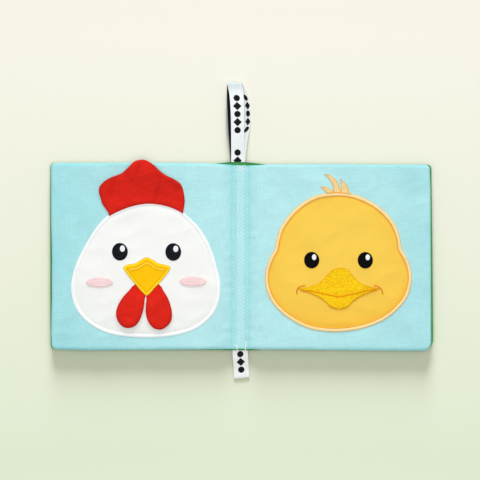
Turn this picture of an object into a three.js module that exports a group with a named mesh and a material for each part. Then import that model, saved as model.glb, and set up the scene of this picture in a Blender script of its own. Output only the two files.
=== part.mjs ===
// A soft crinkle cloth book, lying open at its middle spread.
// The hen is on the left leaf and the duckling is on the right leaf.
// X runs along the spread, +Y to the edge with the hanging loop, +Z up out of the pages.
// The origin is under the middle of the whole book, loop and tab included, on the surface it lies on.
import * as THREE from "three";

// The book, in millimetres.
const PAGE_WIDTH = 151;
const PAGE_HEIGHT = 147.5;
const PAGE_CORNER = 3.5;
const LEAF_THICKNESS = 3.6;
const LEAF_GAP = 0.2;
const RIM_WIDTH = 6;
const VALLEY_WIDTH = 9.4;
const GREEN_REVEAL = 0.8;

// Cloth, thread and filling.
const CLOTH = 0.4;
const SEAM_GAP = 0.2;
const PIECE_GAP = 0.3;
const BATTING_THICKNESS = 1.9;
const FILM_THICKNESS = 0.15;
const FILLING_GAP = 0.15;
const FILLING_MARGIN = 4.5;
const FILLING_CORNER = 2;
const THREAD = 0.5;
const STITCH_LENGTH = 3;

// The spine: a band between two folds, with a slot for the tape between its two panels.
const FOLD_X = 6;
const FOLD_GAP = 0.3;
const SPINE_PANEL = 1;
const TAPE_SLOT = 1.2;
const SEAM_X = 4;
const SEAM_GROOVE = 0.3;
const SPINE_LIP = 1.8;
const BARTACK_WIDTH = 6.2;
const BARTACK_LENGTH = 4.5;
const BARTACK_INSET = 1.5;

// The woven tape of the hanging loop and of the tab at the bottom.
const TAPE_WIDTH = 12;
const TAPE_THICKNESS = 0.45;
const TAPE_SEWN = 8;
const TAPE_GAP = 0.9;
const LOOP_LENGTH = 61.4;
const LOOP_DEPTH = 6.4;
const LOOP_LEAN = 4.6;
const LOOP_BULGE = 2.5;
const TAB_LENGTH = 18.7;
const TAB_LEAN = 1.25;
const TAB_DROP = 3.1;

// The hen's head, measured over its satin border, and what is sewn on it.
const HEN_X = -75;
const HEN_Y = -10.5;
const HEN_WIDTH = 117.7;
const HEN_HEIGHT = 106.6;
const HEN_BORDER = 3.2;
const HEN_EYE_WIDTH = 12.5;
const HEN_EYE_HEIGHT = 13.9;
const HEN_GLINT_WIDTH = 4.3;
const HEN_GLINT_HEIGHT = 5.1;
const CHEEK_WIDTH = 21.2;
const CHEEK_HEIGHT = 7.9;
const BEAK_WIDTH = 36.8;
const BEAK_HEIGHT = 30;
const BEAK_BORDER = 2.3;
const LEFT_WATTLE_WIDTH = 22.4;
const LEFT_WATTLE_HEIGHT = 34;
const RIGHT_WATTLE_WIDTH = 20.9;
const RIGHT_WATTLE_HEIGHT = 35.1;
const WATTLE_THICKNESS = 1.8;
const WATTLE_RIM = 3;
const COMB_WIDTH = 67.9;
const COMB_HEIGHT = 32.5;
const COMB_THICKNESS = 2.2;
const COMB_RIM = 3.5;
const COMB_RISE = 1.2;
const COMB_ROOT_THICKNESS = 0.8;
const COMB_WADDING = 0.9;

// The duckling's head, measured over its satin border, and what is sewn on it.
const DUCK_X = 77.3;
const DUCK_Y = -4.5;
const DUCK_WIDTH = 115.8;
const DUCK_HEIGHT = 109.9;
const DUCK_BORDER = 2.9;
const DUCK_EYE_WIDTH = 12;
const DUCK_EYE_HEIGHT = 13.1;
const DUCK_GLINT_WIDTH = 3.8;
const DUCK_GLINT_HEIGHT = 4.6;
const BILL_WIDTH = 63;
const BILL_HEIGHT = 32.5;
const BILL_THICKNESS = 1.1;
const MOUTH_GAP = 0.8;
const CREASE_THREAD = 0.7;
const TUFT_WIDTH = 24.2;
const TUFT_HEIGHT = 15.4;

// How high each kind of sewing stands off what it is sewn to.
const APPLIQUE = 0.5;
const BORDER_HEIGHT = 0.9;
const BEAK_BORDER_HEIGHT = 0.8;
const EMBROIDERY = 0.4;
const GLINT_HEIGHT = 0.2;

// Heights worked out from the sizes above.
const MIDDLE_Z = LEAF_THICKNESS + LEAF_GAP / 2;
const PAGE_TOP = MIDDLE_Z + LEAF_GAP / 2 + LEAF_THICKNESS;
const LEAF_SEAM = LEAF_GAP / 2 + LEAF_THICKNESS / 2;
const SPINE_SEAM = TAPE_SLOT / 2 + SPINE_PANEL / 2;
const LEAF_START = FOLD_X + FOLD_GAP / 2;
const SPINE_TOP_Y = PAGE_HEIGHT / 2 + SPINE_LIP;
const LOOP_START_Y = SPINE_TOP_Y + TAPE_GAP;
const LOOP_END_Y = LOOP_START_Y + LOOP_LENGTH;
const TAB_END_Y = -LOOP_START_Y - TAB_LENGTH;
const BOOK_Y = -(LOOP_END_Y + TAB_END_Y) / 2;

// Shares of a rim's width at which a rounded edge gets a ring of points.
const RING_SHARES = [0, 0.1, 0.35, 0.7, 1];
const FLAP_RING_SHARES = [0, 0.15, 0.5, 1];
const CORNER_SHARES = [0, 1 / 3, 2 / 3, 1];
const EDGE_SHARES = [0, 0.03, 0.06, 0.09, 0.5];
const SIDE_SHARES = [-1 / 3, 1 / 3];
const LEAST_CORNER_SHARE = 0.1;
const SPINE_SIDE_SHARE = 1.3;

// Outlines, as shares of each piece's own width and height about its centre.
const HEN_SHARES = [
  [0.04, 0.5], [0.155, 0.478], [0.245, 0.433], [0.3, 0.38], [0.355, 0.318], [0.412, 0.221],
  [0.452, 0.12], [0.478, 0.02], [0.498, -0.078], [0.5, -0.167], [0.485, -0.257], [0.445, -0.338],
  [0.379, -0.406], [0.306, -0.452], [0.207, -0.483], [0.09, -0.499], [-0.05, -0.5], [-0.17, -0.488],
  [-0.279, -0.458], [-0.371, -0.403], [-0.437, -0.336], [-0.484, -0.239], [-0.5, -0.13], [-0.489, -0.038],
  [-0.467, 0.04], [-0.436, 0.118], [-0.36, 0.267], [-0.32, 0.328], [-0.25, 0.405], [-0.134, 0.466],
  [-0.04, 0.494],
];
const DUCK_SHARES = [
  [-0.018, 0.5], [-0.155, 0.477], [-0.265, 0.411], [-0.338, 0.335], [-0.397, 0.241], [-0.426, 0.144],
  [-0.433, 0.096], [-0.464, 0.036], [-0.491, -0.041], [-0.5, -0.118], [-0.49, -0.196], [-0.453, -0.285],
  [-0.387, -0.363], [-0.301, -0.427], [-0.191, -0.479], [-0.045, -0.5], [0.084, -0.492], [0.196, -0.466],
  [0.303, -0.419], [0.395, -0.348], [0.467, -0.255], [0.497, -0.157], [0.5, -0.09], [0.484, -0.012],
  [0.453, 0.058], [0.435, 0.088], [0.43, 0.108], [0.419, 0.18], [0.389, 0.265], [0.336, 0.342],
  [0.263, 0.409], [0.172, 0.462], [0.083, 0.492],
];
const BEAK_SHARES = [
  [0.5, 0.24], [0.37, 0.31], [0.247, 0.34], [0.1, 0.45], [0, 0.5], [-0.1, 0.45], [-0.247, 0.34],
  [-0.4, 0.31], [-0.5, 0.24], [-0.384, 0.003], [-0.247, -0.2], [-0.105, -0.4], [0, -0.5],
  [0.095, -0.4], [0.247, -0.197], [0.375, -0.02],
];
const LEFT_WATTLE_SHARES = [
  [0.162, 0.5], [-0.053, 0.365], [-0.275, 0.203], [-0.433, 0.024], [-0.5, -0.138], [-0.479, -0.27],
  [-0.387, -0.389], [-0.232, -0.477], [-0.053, -0.5], [0.173, -0.449], [0.331, -0.314],
  [0.419, -0.166], [0.475, -0.02], [0.5, 0.115], [0.5, 0.263],
];
const RIGHT_WATTLE_SHARES = [
  [-0.428, 0.255], [-0.466, 0.169], [-0.49, 0.011], [-0.489, -0.119], [-0.428, -0.277],
  [-0.307, -0.405], [-0.14, -0.484], [0.102, -0.5], [0.322, -0.421], [0.466, -0.306],
  [0.5, -0.133], [0.455, 0.038], [0.345, 0.198], [0.174, 0.34], [0.008, 0.5],
];
// The comb's loose edge, from the right end of its crease to the left end.
const COMB_SHARES = [
  [0.5, 0], [0.497, 0.07], [0.475, 0.31], [0.44, 0.43], [0.37, 0.53], [0.29, 0.61], [0.215, 0.72],
  [0.145, 0.86], [0.1, 0.93], [0.02, 1], [-0.05, 0.98], [-0.09, 0.95], [-0.17, 0.78], [-0.23, 0.67],
  [-0.35, 0.57], [-0.44, 0.46], [-0.49, 0.34], [-0.5, 0.23], [-0.485, 0.1], [-0.47, 0],
];
// The comb's two sides below its crease, as shares of its width and of the hen's height from her centre.
const COMB_ROOT_RIGHT_SHARES = [[0.5, 0.51], [0.49, 0.475], [0.475, 0.44]];
const COMB_ROOT_LEFT_SHARES = [[-0.395, 0.43], [-0.45, 0.468], [-0.47, 0.51]];
const TUFT_SHARES = [
  [-0.265, -0.469], [-0.34, -0.326], [-0.5, -0.131], [-0.356, -0.151], [-0.18, -0.254],
  [-0.059, -0.4], [-0.046, -0.377], [-0.092, -0.028], [-0.209, 0.274], [-0.386, 0.5],
  [-0.18, 0.408], [-0.036, 0.249], [0.098, -0.028], [0.15, -0.37], [0.18, -0.387],
  [0.199, 0.018], [0.154, 0.238], [0.258, 0.09], [0.36, -0.069], [0.448, -0.43],
  [0.474, -0.5], [0.271, -0.455], [0.01, -0.445],
];
// The bill, from its left to its right corner: along, lower edge, upper edge, fullness.
const UPPER_BILL_SHARES = [
  [-0.49, -0.028, -0.008, 0.4], [-0.37, -0.06, 0.04, 0.6], [-0.25, -0.1, 0.13, 0.8],
  [-0.15, -0.145, 0.32, 0.95], [-0.06, -0.18, 0.46, 1], [0.01, -0.198, 0.5, 1],
  [0.09, -0.175, 0.465, 1], [0.17, -0.135, 0.33, 0.95], [0.26, -0.095, 0.145, 0.8],
  [0.37, -0.045, 0.05, 0.6], [0.49, -0.012, 0.008, 0.4],
];
const LOWER_BILL_SHARES = [
  [-0.41, -0.085, -0.048, 0.4], [-0.37, -0.105, -0.06, 0.5], [-0.25, -0.205, -0.1, 0.8],
  [-0.15, -0.345, -0.145, 0.95], [-0.06, -0.475, -0.18, 1], [0.01, -0.5, -0.198, 1],
  [0.09, -0.46, -0.175, 1], [0.17, -0.33, -0.135, 0.95], [0.26, -0.205, -0.095, 0.8],
  [0.37, -0.11, -0.045, 0.5], [0.42, -0.08, -0.03, 0.4],
];
// A section across the bill: from edge to edge, and up.
const BILL_SECTION_SHARES = [[0, 0], [1, 0], [0.88, 0.75], [0.5, 1], [0.12, 0.75]];
const LEFT_CREASE_SHARES = [[-0.416, 0.075], [-0.47, 0.055], [-0.512, 0.01], [-0.527, -0.06], [-0.522, -0.145]];
const RIGHT_CREASE_SHARES = [[0.441, 0.075], [0.487, 0.055], [0.522, 0.01], [0.545, -0.06], [0.55, -0.145]];

// Places on a head, as shares of its width and height from its centre.
const HEN_EYE_SHARES = { left: [-0.172, 0.134], right: [0.186, 0.132] };
const CHEEK_SHARES = { left: [-0.309, -0.09], right: [0.319, -0.083] };
const BEAK_PLACE_SHARES = [0.009, -0.049];
const LEFT_WATTLE_PLACE_SHARES = [-0.102, -0.272];
const RIGHT_WATTLE_PLACE_SHARES = [0.089, -0.277];
const COMB_PLACE_SHARE = -0.025;
const DUCK_EYE_SHARES = { left: [-0.182, 0.015], right: [0.1835, 0.014] };
const BILL_PLACE_SHARES = [0.003, -0.189];
const TUFT_PLACE_SHARES = [-0.018, 0.567];
const GLINT_PLACE_SHARES = [0.16, 0.175];

// The loop's run from the sewn end up the front, over the fold and down the back:
// along its length, up or down, and sideways as shares of the lean and of the bulge.
const LOOP_SHARES = [
  [0, 0.09, -0.54, 0], [0.1, 0.3, -0.54, 0], [0.25, 0.72, -0.56, 0], [0.45, 1, -0.58, 0],
  [0.65, 1, -0.65, 0], [0.82, 0.85, -0.78, 0], [0.93, 0.6, -0.92, 0], [0.985, 0.3, -0.99, 0],
  [1, 0, -1, 0], [0.985, -0.3, -0.96, 0.05], [0.93, -0.6, -0.75, 0.35], [0.82, -0.85, -0.4, 0.75],
  [0.65, -1, -0.1, 0.98], [0.48, -1, 0, 1], [0.25, -0.75, -0.1, 0.5], [0.1, -0.32, -0.2, 0.1],
  [0, -0.09, -0.3, 0],
];

// The tab's run from the spine: along its length, and down.
const TAB_SHARES = [[0, 0], [0.12, 0.02], [0.35, 0.2], [0.65, 0.65], [0.85, 0.92], [1, 1]];

// A satin border's section: inwards and up.
const BORDER_SECTION_SHARES = [[0, 0], [0.2, 1], [0.8, 1], [1, 0]];
// A padded spot's rings: size and height.
const DOME_SHARES = [[1, 0], [1, 0.5], [0.88, 1]];

// Colours.
const AQUA = 0xb0eaec;
const GREEN = 0x4ba055;
const RED = 0xde241a;
const WHITE = 0xf8f9f8;
const BLACK = 0x161a22;
const DUCK_YELLOW = 0xfccd4e;
const PEACH = 0xfddc96;
const ORANGE = 0xe58a1c;
const AMBER = 0xffbe00;
const BRIGHT_YELLOW = 0xffd71e;
const PINK = 0xfdd0d6;
const TAPE_WHITE = 0xe4eaed;
const THREAD_AQUA = 0xa6dcde;
const WADDING_WHITE = 0xf0f0ec;
const FILM_SILVER = 0xc8d0d4;

// A vector in the plane from shares of a width and a height.
const placed = ([x, y], width, height) => new THREE.Vector2(x * width, y * height);

const lifted = (points, z) => points.map(({ x, y }) => new THREE.Vector3(x, y, z));

// A closed body through rings of points. The first and last ring are closed across their middles,
// or joined to each other where the rings run round in a circle.
function loft(rings, round = false) {
  const count = rings[0].length;
  const points = rings.flat();
  const faces = [];
  const wall = (first, second) => {
    for (let i = 0; i < count; i += 1) {
      const next = (i + 1) % count;
      faces.push([first * count + i, first * count + next, second * count + next]);
      faces.push([first * count + i, second * count + next, second * count + i]);
    }
  };
  rings.slice(1).forEach((_, r) => wall(r, r + 1));
  if (round) {
    wall(rings.length - 1, 0);
  } else {
    [0, rings.length - 1].forEach((r) => {
      const middle = points.length;
      const centre = new THREE.Vector3();
      rings[r].forEach((point) => centre.addScaledVector(point, 1 / count));
      points.push(centre);
      for (let i = 0; i < count; i += 1) {
        const next = (i + 1) % count;
        faces.push(r === 0 ? [r * count + next, r * count + i, middle] : [r * count + i, r * count + next, middle]);
      }
    });
  }
  const volume = faces.reduce((sum, [a, b, c]) => sum + points[a].dot(points[b].clone().cross(points[c])), 0);
  const turned = volume < 0 ? faces.map(([a, b, c]) => [a, c, b]) : faces;
  const geometry = new THREE.BufferGeometry();
  geometry.setAttribute("position", new THREE.Float32BufferAttribute(points.flatMap((p) => p.toArray()), 3));
  geometry.setIndex(turned.flat());
  geometry.computeVertexNormals();
  return geometry;
}

// Evenly spaced points of a smooth curve through the given points.
function smooth(points, count, closed) {
  const curve = new THREE.CatmullRomCurve3(lifted(points, 0), closed, "centripetal");
  const spaced = curve.getSpacedPoints(count).map(({ x, y }) => new THREE.Vector2(x, y));
  return closed ? spaced.slice(0, -1) : spaced;
}

const counterclockwise = (points) => (THREE.ShapeUtils.isClockWise(points) ? [...points].reverse() : points);

// A smooth closed outline from a table of shares.
function outline(shares, width, height, count) {
  return counterclockwise(smooth(shares.map((share) => placed(share, width, height)), count, true));
}

// A counterclockwise outline moved inwards, each corner along its bisector.
function inset(points, distance) {
  const inward = (from, to) => new THREE.Vector2(from.y - to.y, to.x - from.x).normalize();
  return points.map((point, i) => {
    const before = inward(points.at(i - 1), point);
    const after = inward(point, points[(i + 1) % points.length]);
    const bisector = before.clone().add(after).normalize();
    return point.clone().addScaledVector(bisector, distance / Math.max(bisector.dot(after), 0.5));
  });
}

// A rounded outline with every point moved towards its middle.
function drawnIn(points, distance) {
  const middle = new THREE.Box2().setFromPoints(points).getCenter(new THREE.Vector2());
  return points.map((point) => point.clone().add(middle.clone().sub(point).setLength(distance)));
}

function ellipse(width, height, count) {
  return new THREE.EllipseCurve(0, 0, width / 2, height / 2).getPoints(count).slice(0, -1);
}

// A flat piece cut from a sheet.
function plate(points, thickness, bottom = 0) {
  const geometry = new THREE.ExtrudeGeometry(new THREE.Shape(points), { depth: thickness, bevelEnabled: false });
  return geometry.translate(0, 0, bottom);
}

// A spot of dense embroidery, full in the middle.
function dome(points, height) {
  const rings = DOME_SHARES.map(([size, up]) => {
    return lifted(points.map((point) => point.clone().multiplyScalar(size)), up * height);
  });
  return loft(rings);
}

// A raised row of satin stitches round an outline.
function satinBorder(points, width, height) {
  const rings = BORDER_SECTION_SHARES.map(([inwards, up]) => lifted(inset(points, inwards * width), up * height));
  return loft(rings, true);
}

// A thread laid along a row of points, flat below and narrower on top.
function strand(points, width, height) {
  const rings = points.map((point, i) => {
    const run = points[Math.min(i + 1, points.length - 1)].clone().sub(points[Math.max(i - 1, 0)]);
    const side = new THREE.Vector3(-run.y, run.x, 0).normalize().multiplyScalar(width / 2);
    const up = new THREE.Vector3(0, 0, height);
    return [
      point.clone().sub(side),
      point.clone().add(side),
      point.clone().addScaledVector(side, 0.5).add(up),
      point.clone().addScaledVector(side, -0.5).add(up),
    ];
  });
  return loft(rings);
}

// A flat band that keeps its width along X while it runs up, over and back.
function ribbon(points, width, thickness) {
  const rings = points.map((point, i) => {
    const run = points[Math.min(i + 1, points.length - 1)].clone().sub(points[Math.max(i - 1, 0)]);
    const side = new THREE.Vector3(width / 2, 0, 0);
    const out = new THREE.Vector3(0, -run.z, run.y).normalize().multiplyScalar(thickness / 2);
    return [
      point.clone().sub(side).sub(out),
      point.clone().add(side).sub(out),
      point.clone().add(side).add(out),
      point.clone().sub(side).add(out),
    ];
  });
  return loft(rings);
}

// How much of its full height a rounded rim has reached, at a share of the rim's width.
const rimRise = (share) => Math.sqrt(1 - (1 - share) ** 2);

// How far a leaf has opened out from the flat spine, 0 at the fold and 1 past the valley.
const valleyRise = (x) => THREE.MathUtils.smoothstep(x, LEAF_START, LEAF_START + VALLEY_WIDTH);

// A cloth shell, from the middle of its inner face out to the seam and back over its outer face.
function shell(shares, ringAt) {
  const inner = shares.map((share) => ringAt(share, CLOTH)).reverse();
  const outer = shares.map((share) => ringAt(share, 0));
  return loft([...inner, ...outer]);
}

// One ring of plan points round a right-hand leaf. The points along the fold have their full height.
function leafRing(width, rim, valley) {
  const spineX = LEAF_START + valley;
  const edgeX = width - rim;
  const topY = PAGE_HEIGHT / 2 - rim;
  const radius = PAGE_CORNER * Math.max(1 - rim / RIM_WIDTH, LEAST_CORNER_SHARE);
  const foldY = PAGE_HEIGHT / 2 - RIM_WIDTH * SPINE_SIDE_SHARE;
  const along = EDGE_SHARES.map((share) => THREE.MathUtils.lerp(spineX, edgeX - radius, share));
  const corner = CORNER_SHARES.map((share) => {
    const angle = (share * Math.PI) / 2;
    return [edgeX - radius + radius * Math.cos(angle), topY - radius + radius * Math.sin(angle)];
  });
  const point = ([x, y]) => ({ x, y, full: false });
  return [
    ...along.map((x) => point([x, -topY])),
    ...corner.toReversed().map(([x, y]) => point([x, -y])),
    ...SIDE_SHARES.map((share) => point([edgeX, share * topY])),
    ...corner.map(point),
    ...along.toReversed().map((x) => point([x, topY])),
    { x: spineX, y: foldY, full: true },
    { x: spineX, y: -foldY, full: true },
  ];
}

// One cloth face of a leaf, in heights above the plane between spread and cover.
// face is 1 for the side away from that plane and -1 for the side towards it.
function leafCloth(width, face) {
  return shell(RING_SHARES, (share, cloth) => {
    const rim = THREE.MathUtils.lerp(cloth, RIM_WIDTH, share);
    const valley = THREE.MathUtils.lerp(cloth, VALLEY_WIDTH, share);
    return leafRing(width, rim, valley).map(({ x, y, full }) => {
      const open = valleyRise(x);
      const seam = THREE.MathUtils.lerp(SPINE_SEAM, LEAF_SEAM, open);
      const half = THREE.MathUtils.lerp(SPINE_PANEL, LEAF_THICKNESS, open) / 2;
      const rise = share > 0 ? (half - SEAM_GAP / 2 - cloth) * rimRise(full ? 1 : share) : 0;
      return new THREE.Vector3(x, y, seam + face * (SEAM_GAP / 2 + rise));
    });
  });
}

// A sheet of filling, which stops short of the leaf's rim and of the valley.
function filling(thickness, bottom) {
  const left = LEAF_START + VALLEY_WIDTH;
  const right = PAGE_WIDTH - FILLING_MARGIN;
  const top = PAGE_HEIGHT / 2 - FILLING_MARGIN;
  const corners = [
    [left, -top],
    [right - FILLING_CORNER, -top],
    [right, -top + FILLING_CORNER],
    [right, top - FILLING_CORNER],
    [right - FILLING_CORNER, top],
    [left, top],
  ];
  return plate(corners.map(([x, y]) => new THREE.Vector2(x, y)), thickness, bottom);
}

// A band of cloth along the spine. Where it carries the two seams it has a groove for each.
function spineBand(length, bottom, grooved) {
  const edge = FOLD_X - FOLD_GAP / 2;
  const top = bottom + CLOTH;
  const groove = (x) => [
    [x + THREAD, top],
    [x + THREAD * 0.8, top - SEAM_GROOVE],
    [x - THREAD * 0.8, top - SEAM_GROOVE],
    [x - THREAD, top],
  ];
  const grooves = grooved ? [...groove(SEAM_X), ...groove(-SEAM_X)] : [];
  const section = [[-edge, bottom], [edge, bottom], [edge, top], ...grooves, [-edge, top]];
  const shape = new THREE.Shape(section.map(([x, z]) => new THREE.Vector2(x, z)));
  const geometry = new THREE.ExtrudeGeometry(shape, { depth: length, bevelEnabled: false });
  return geometry.rotateX(Math.PI / 2).translate(0, length / 2, 0);
}

// A row of straight stitches along the spine: each rises in its middle and dips at its ends.
function seamThread() {
  const stitches = Math.round(PAGE_HEIGHT / STITCH_LENGTH) - 1;
  const length = PAGE_HEIGHT - 2 * PIECE_GAP;
  const bottom = TAPE_SLOT / 2 + SPINE_PANEL - SEAM_GROOVE;
  const points = [];
  for (let i = 0; i <= 2 * stitches; i += 1) {
    const dip = i % 2 === 0 ? THREAD / 10 : THREAD / 3;
    points.push(new THREE.Vector3(0, -length / 2 + (length * i) / (2 * stitches), bottom + dip));
  }
  return strand(points, THREAD, THREAD * 0.7);
}

// The loose part of a flap: a front or a back cloth with rounded edges.
function flapCloth(points, thickness, rim, face) {
  return shell(FLAP_RING_SHARES, (share, cloth) => {
    const half = thickness / 2 - SEAM_GAP / 2 - cloth;
    const rise = SEAM_GAP / 2 + half * rimRise(share);
    return lifted(drawnIn(points, THREE.MathUtils.lerp(cloth, rim, share)), thickness / 2 + face * rise);
  });
}

// One half of the bill, lofted from its left to its right corner.
function billHalf(shares, lowGap, highGap) {
  const rings = shares.map(([along, low, high, fullness]) => {
    const from = low * BILL_HEIGHT + lowGap;
    const to = high * BILL_HEIGHT - highGap;
    return BILL_SECTION_SHARES.map(([across, up]) => {
      const y = THREE.MathUtils.lerp(from, to, across);
      return new THREE.Vector3(along * BILL_WIDTH, y, up * fullness * BILL_THICKNESS);
    });
  });
  return loft(rings);
}

function mesh(name, geometry, color, roughness = 0.9) {
  const material = new THREE.MeshStandardMaterial({ color, roughness, metalness: 0 });
  const made = new THREE.Mesh(geometry, material);
  made.name = name;
  return made;
}

// The four layers of one leaf. side is -1 for the left leaf, panel is 1 for the spread and -1 for the cover.
function leaf(side, panel, names, outerWidth, outerColor) {
  const group = new THREE.Group();
  const batting = LEAF_GAP / 2 + CLOTH + FILLING_GAP;
  const film = batting + BATTING_THICKNESS + FILLING_GAP;
  group.add(mesh(names.outer, leafCloth(outerWidth, 1), outerColor));
  group.add(mesh(names.film, filling(FILM_THICKNESS, film), FILM_SILVER, 0.4));
  group.add(mesh(names.batting, filling(BATTING_THICKNESS, batting), WADDING_WHITE, 1));
  group.add(mesh(names.inner, leafCloth(PAGE_WIDTH, -1), GREEN));
  group.scale.set(side, 1, panel);
  group.position.z = MIDDLE_Z;
  return group;
}

const pageNames = (animal) => ({
  outer: `${animal}_page_fabric`,
  film: `${animal}_page_crinkle_film`,
  batting: `${animal}_page_batting`,
  inner: `${animal}_page_backing`,
});

const coverNames = (end) => ({
  outer: `${end}_cover_fabric`,
  film: `${end}_cover_crinkle_film`,
  batting: `${end}_cover_batting`,
  inner: `${end}_cover_lining`,
});

// The two panels of the spine with their seams, one panel for the spread and one for the cover.
function spine() {
  const group = new THREE.Group();
  const inner = TAPE_SLOT / 2;
  const outer = inner + SPINE_PANEL - CLOTH;
  const panels = [
    { panel: 1, name: "spread", color: AQUA, length: PAGE_HEIGHT, under: "backing" },
    { panel: -1, name: "cover", color: GREEN, length: PAGE_HEIGHT + 2 * SPINE_LIP, under: "lining" },
  ];
  panels.forEach(({ panel, name, color, length, under }) => {
    const half = new THREE.Group();
    half.add(mesh(`${name}_spine_fabric`, spineBand(length, outer, true), color));
    half.add(mesh(`${name}_spine_${under}`, spineBand(length, inner, false), GREEN));
    [["left", -1], ["right", 1]].forEach(([label, side]) => {
      const thread = mesh(`${name}_seam_${label}`, seamThread(), THREAD_AQUA, 0.7);
      thread.position.x = side * SEAM_X;
      half.add(thread);
    });
    half.scale.z = panel;
    group.add(half);
  });
  const bartack = mesh("loop_bartack", dome(ellipse(BARTACK_WIDTH, BARTACK_LENGTH, 12), EMBROIDERY), WHITE, 0.7);
  bartack.position.set(0, PAGE_HEIGHT / 2 - BARTACK_INSET - BARTACK_LENGTH / 2, inner + SPINE_PANEL);
  group.add(bartack);
  group.position.z = MIDDLE_Z;
  return group;
}

// The tape at the top and the tape at the bottom, each with the end that is sewn in between the panels.
function tapes() {
  const group = new THREE.Group();
  const doubled = TAPE_SLOT - FILLING_GAP;
  const sewn = (side) => {
    const ends = [SPINE_TOP_Y - TAPE_SEWN, SPINE_TOP_Y].map((y) => new THREE.Vector3(0, side * y, 0));
    return ribbon(ends, TAPE_WIDTH, doubled);
  };
  const run = LOOP_SHARES.map(([along, up, lean, bulge]) => {
    const x = lean * LOOP_LEAN + bulge * LOOP_BULGE;
    const y = LOOP_START_Y + along * (LOOP_LENGTH - TAPE_THICKNESS / 2);
    return new THREE.Vector3(x, y, up * (LOOP_DEPTH - TAPE_THICKNESS) / 2 + Math.sign(up) * TAPE_THICKNESS * 0.1);
  });
  const tab = TAB_SHARES.map(([along, down]) => {
    return new THREE.Vector3(along * TAB_LEAN, -LOOP_START_Y - along * TAB_LENGTH, -down * TAB_DROP);
  });
  group.add(mesh("loop_sewn_end", sewn(1), TAPE_WHITE, 0.7));
  group.add(mesh("hanging_loop", ribbon(run, TAPE_WIDTH, TAPE_THICKNESS), TAPE_WHITE, 0.7));
  group.add(mesh("tab_sewn_end", sewn(-1), TAPE_WHITE, 0.7));
  group.add(mesh("bottom_tab", ribbon(tab, TAPE_WIDTH, doubled), TAPE_WHITE, 0.7));
  group.position.z = MIDDLE_Z;
  return group;
}

// Two embroidered eyes, each with a white glint.
function eyes(animal, places, head, eye, glint) {
  const group = new THREE.Group();
  Object.entries(places).forEach(([label, place]) => {
    const centre = placed(place, ...head);
    const offset = placed(GLINT_PLACE_SHARES, ...eye);
    const ball = mesh(`${animal}_eye_${label}`, dome(ellipse(...eye, 16), EMBROIDERY), BLACK, 0.6);
    ball.position.set(centre.x, centre.y, APPLIQUE);
    const spot = mesh(`${animal}_eye_glint_${label}`, dome(ellipse(...glint, 10), GLINT_HEIGHT), WHITE, 0.6);
    spot.position.set(centre.x + offset.x, centre.y + offset.y, APPLIQUE + EMBROIDERY);
    group.add(ball, spot);
  });
  return group;
}

// A head's cloth and the satin border that holds its edge down.
function head(animal, points, border, cloth, edge) {
  const group = new THREE.Group();
  group.add(mesh(`${animal}_head`, plate(inset(points, border + PIECE_GAP), APPLIQUE), cloth));
  group.add(mesh(`${animal}_head_border`, satinBorder(points, border, BORDER_HEIGHT), edge, 0.6));
  return group;
}

// The comb: a padded flap that folds at its crease, and the sewn-down margin between crease and head.
function comb(headPoints) {
  const group = new THREE.Group();
  const creaseY = HEN_HEIGHT / 2 + COMB_RISE;
  const loose = smooth(COMB_SHARES.map((share) => placed(share, COMB_WIDTH, COMB_HEIGHT)), 26, false);
  const crease = [0.25, 0.5, 0.75].map((share) => loose.at(-1).clone().lerp(loose[0], share));
  const flap = counterclockwise([...loose, ...crease]);
  const flapGroup = new THREE.Group();
  flapGroup.add(mesh("comb_front", flapCloth(flap, COMB_THICKNESS, COMB_RIM, 1), RED));
  flapGroup.add(mesh("comb_back", flapCloth(flap, COMB_THICKNESS, COMB_RIM, -1), RED));
  const wadding = plate(drawnIn(flap, COMB_RIM), COMB_WADDING, (COMB_THICKNESS - COMB_WADDING) / 2);
  flapGroup.add(mesh("comb_wadding", wadding, WADDING_WHITE, 1));
  flapGroup.position.set(0, creaseY + FOLD_GAP / 2, PIECE_GAP);
  group.add(flapGroup);

  const side = (shares) => shares.map((share) => placed(share, COMB_WIDTH, HEN_HEIGHT));
  const right = side(COMB_ROOT_RIGHT_SHARES);
  const left = side(COMB_ROOT_LEFT_SHARES);
  right[0].y = creaseY - FOLD_GAP / 2;
  left.at(-1).y = creaseY - FOLD_GAP / 2;
  const shift = COMB_PLACE_SHARE * HEN_WIDTH;
  const edge = inset(headPoints, -PIECE_GAP).map((point) => point.setX(point.x - shift));
  const lower = edge.filter(({ x, y }) => y > 0 && x < right.at(-1).x && x > left[0].x);
  lower.sort((a, b) => a.x - b.x);
  const root = [...right, ...lower.toReversed(), ...left];
  group.add(mesh("comb_root", plate(counterclockwise(root), COMB_ROOT_THICKNESS, PIECE_GAP), RED));
  group.position.x = shift;
  return group;
}

function wattle(label, shares, width, height, place) {
  const points = outline(shares, width, height, 24);
  const group = new THREE.Group();
  group.add(mesh(`${label}_wattle_front`, flapCloth(points, WATTLE_THICKNESS, WATTLE_RIM, 1), RED));
  group.add(mesh(`${label}_wattle_back`, flapCloth(points, WATTLE_THICKNESS, WATTLE_RIM, -1), RED));
  const centre = placed(place, HEN_WIDTH, HEN_HEIGHT);
  group.position.set(centre.x, centre.y, APPLIQUE + PIECE_GAP);
  return group;
}

function beak() {
  const points = outline(BEAK_SHARES, BEAK_WIDTH, BEAK_HEIGHT, 36);
  const group = new THREE.Group();
  group.add(mesh("hen_beak", plate(inset(points, BEAK_BORDER + PIECE_GAP), APPLIQUE), AMBER));
  group.add(mesh("hen_beak_border", satinBorder(points, BEAK_BORDER, BEAK_BORDER_HEIGHT), BRIGHT_YELLOW, 0.6));
  const centre = placed(BEAK_PLACE_SHARES, HEN_WIDTH, HEN_HEIGHT);
  group.position.set(centre.x, centre.y, APPLIQUE);
  return group;
}

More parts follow.
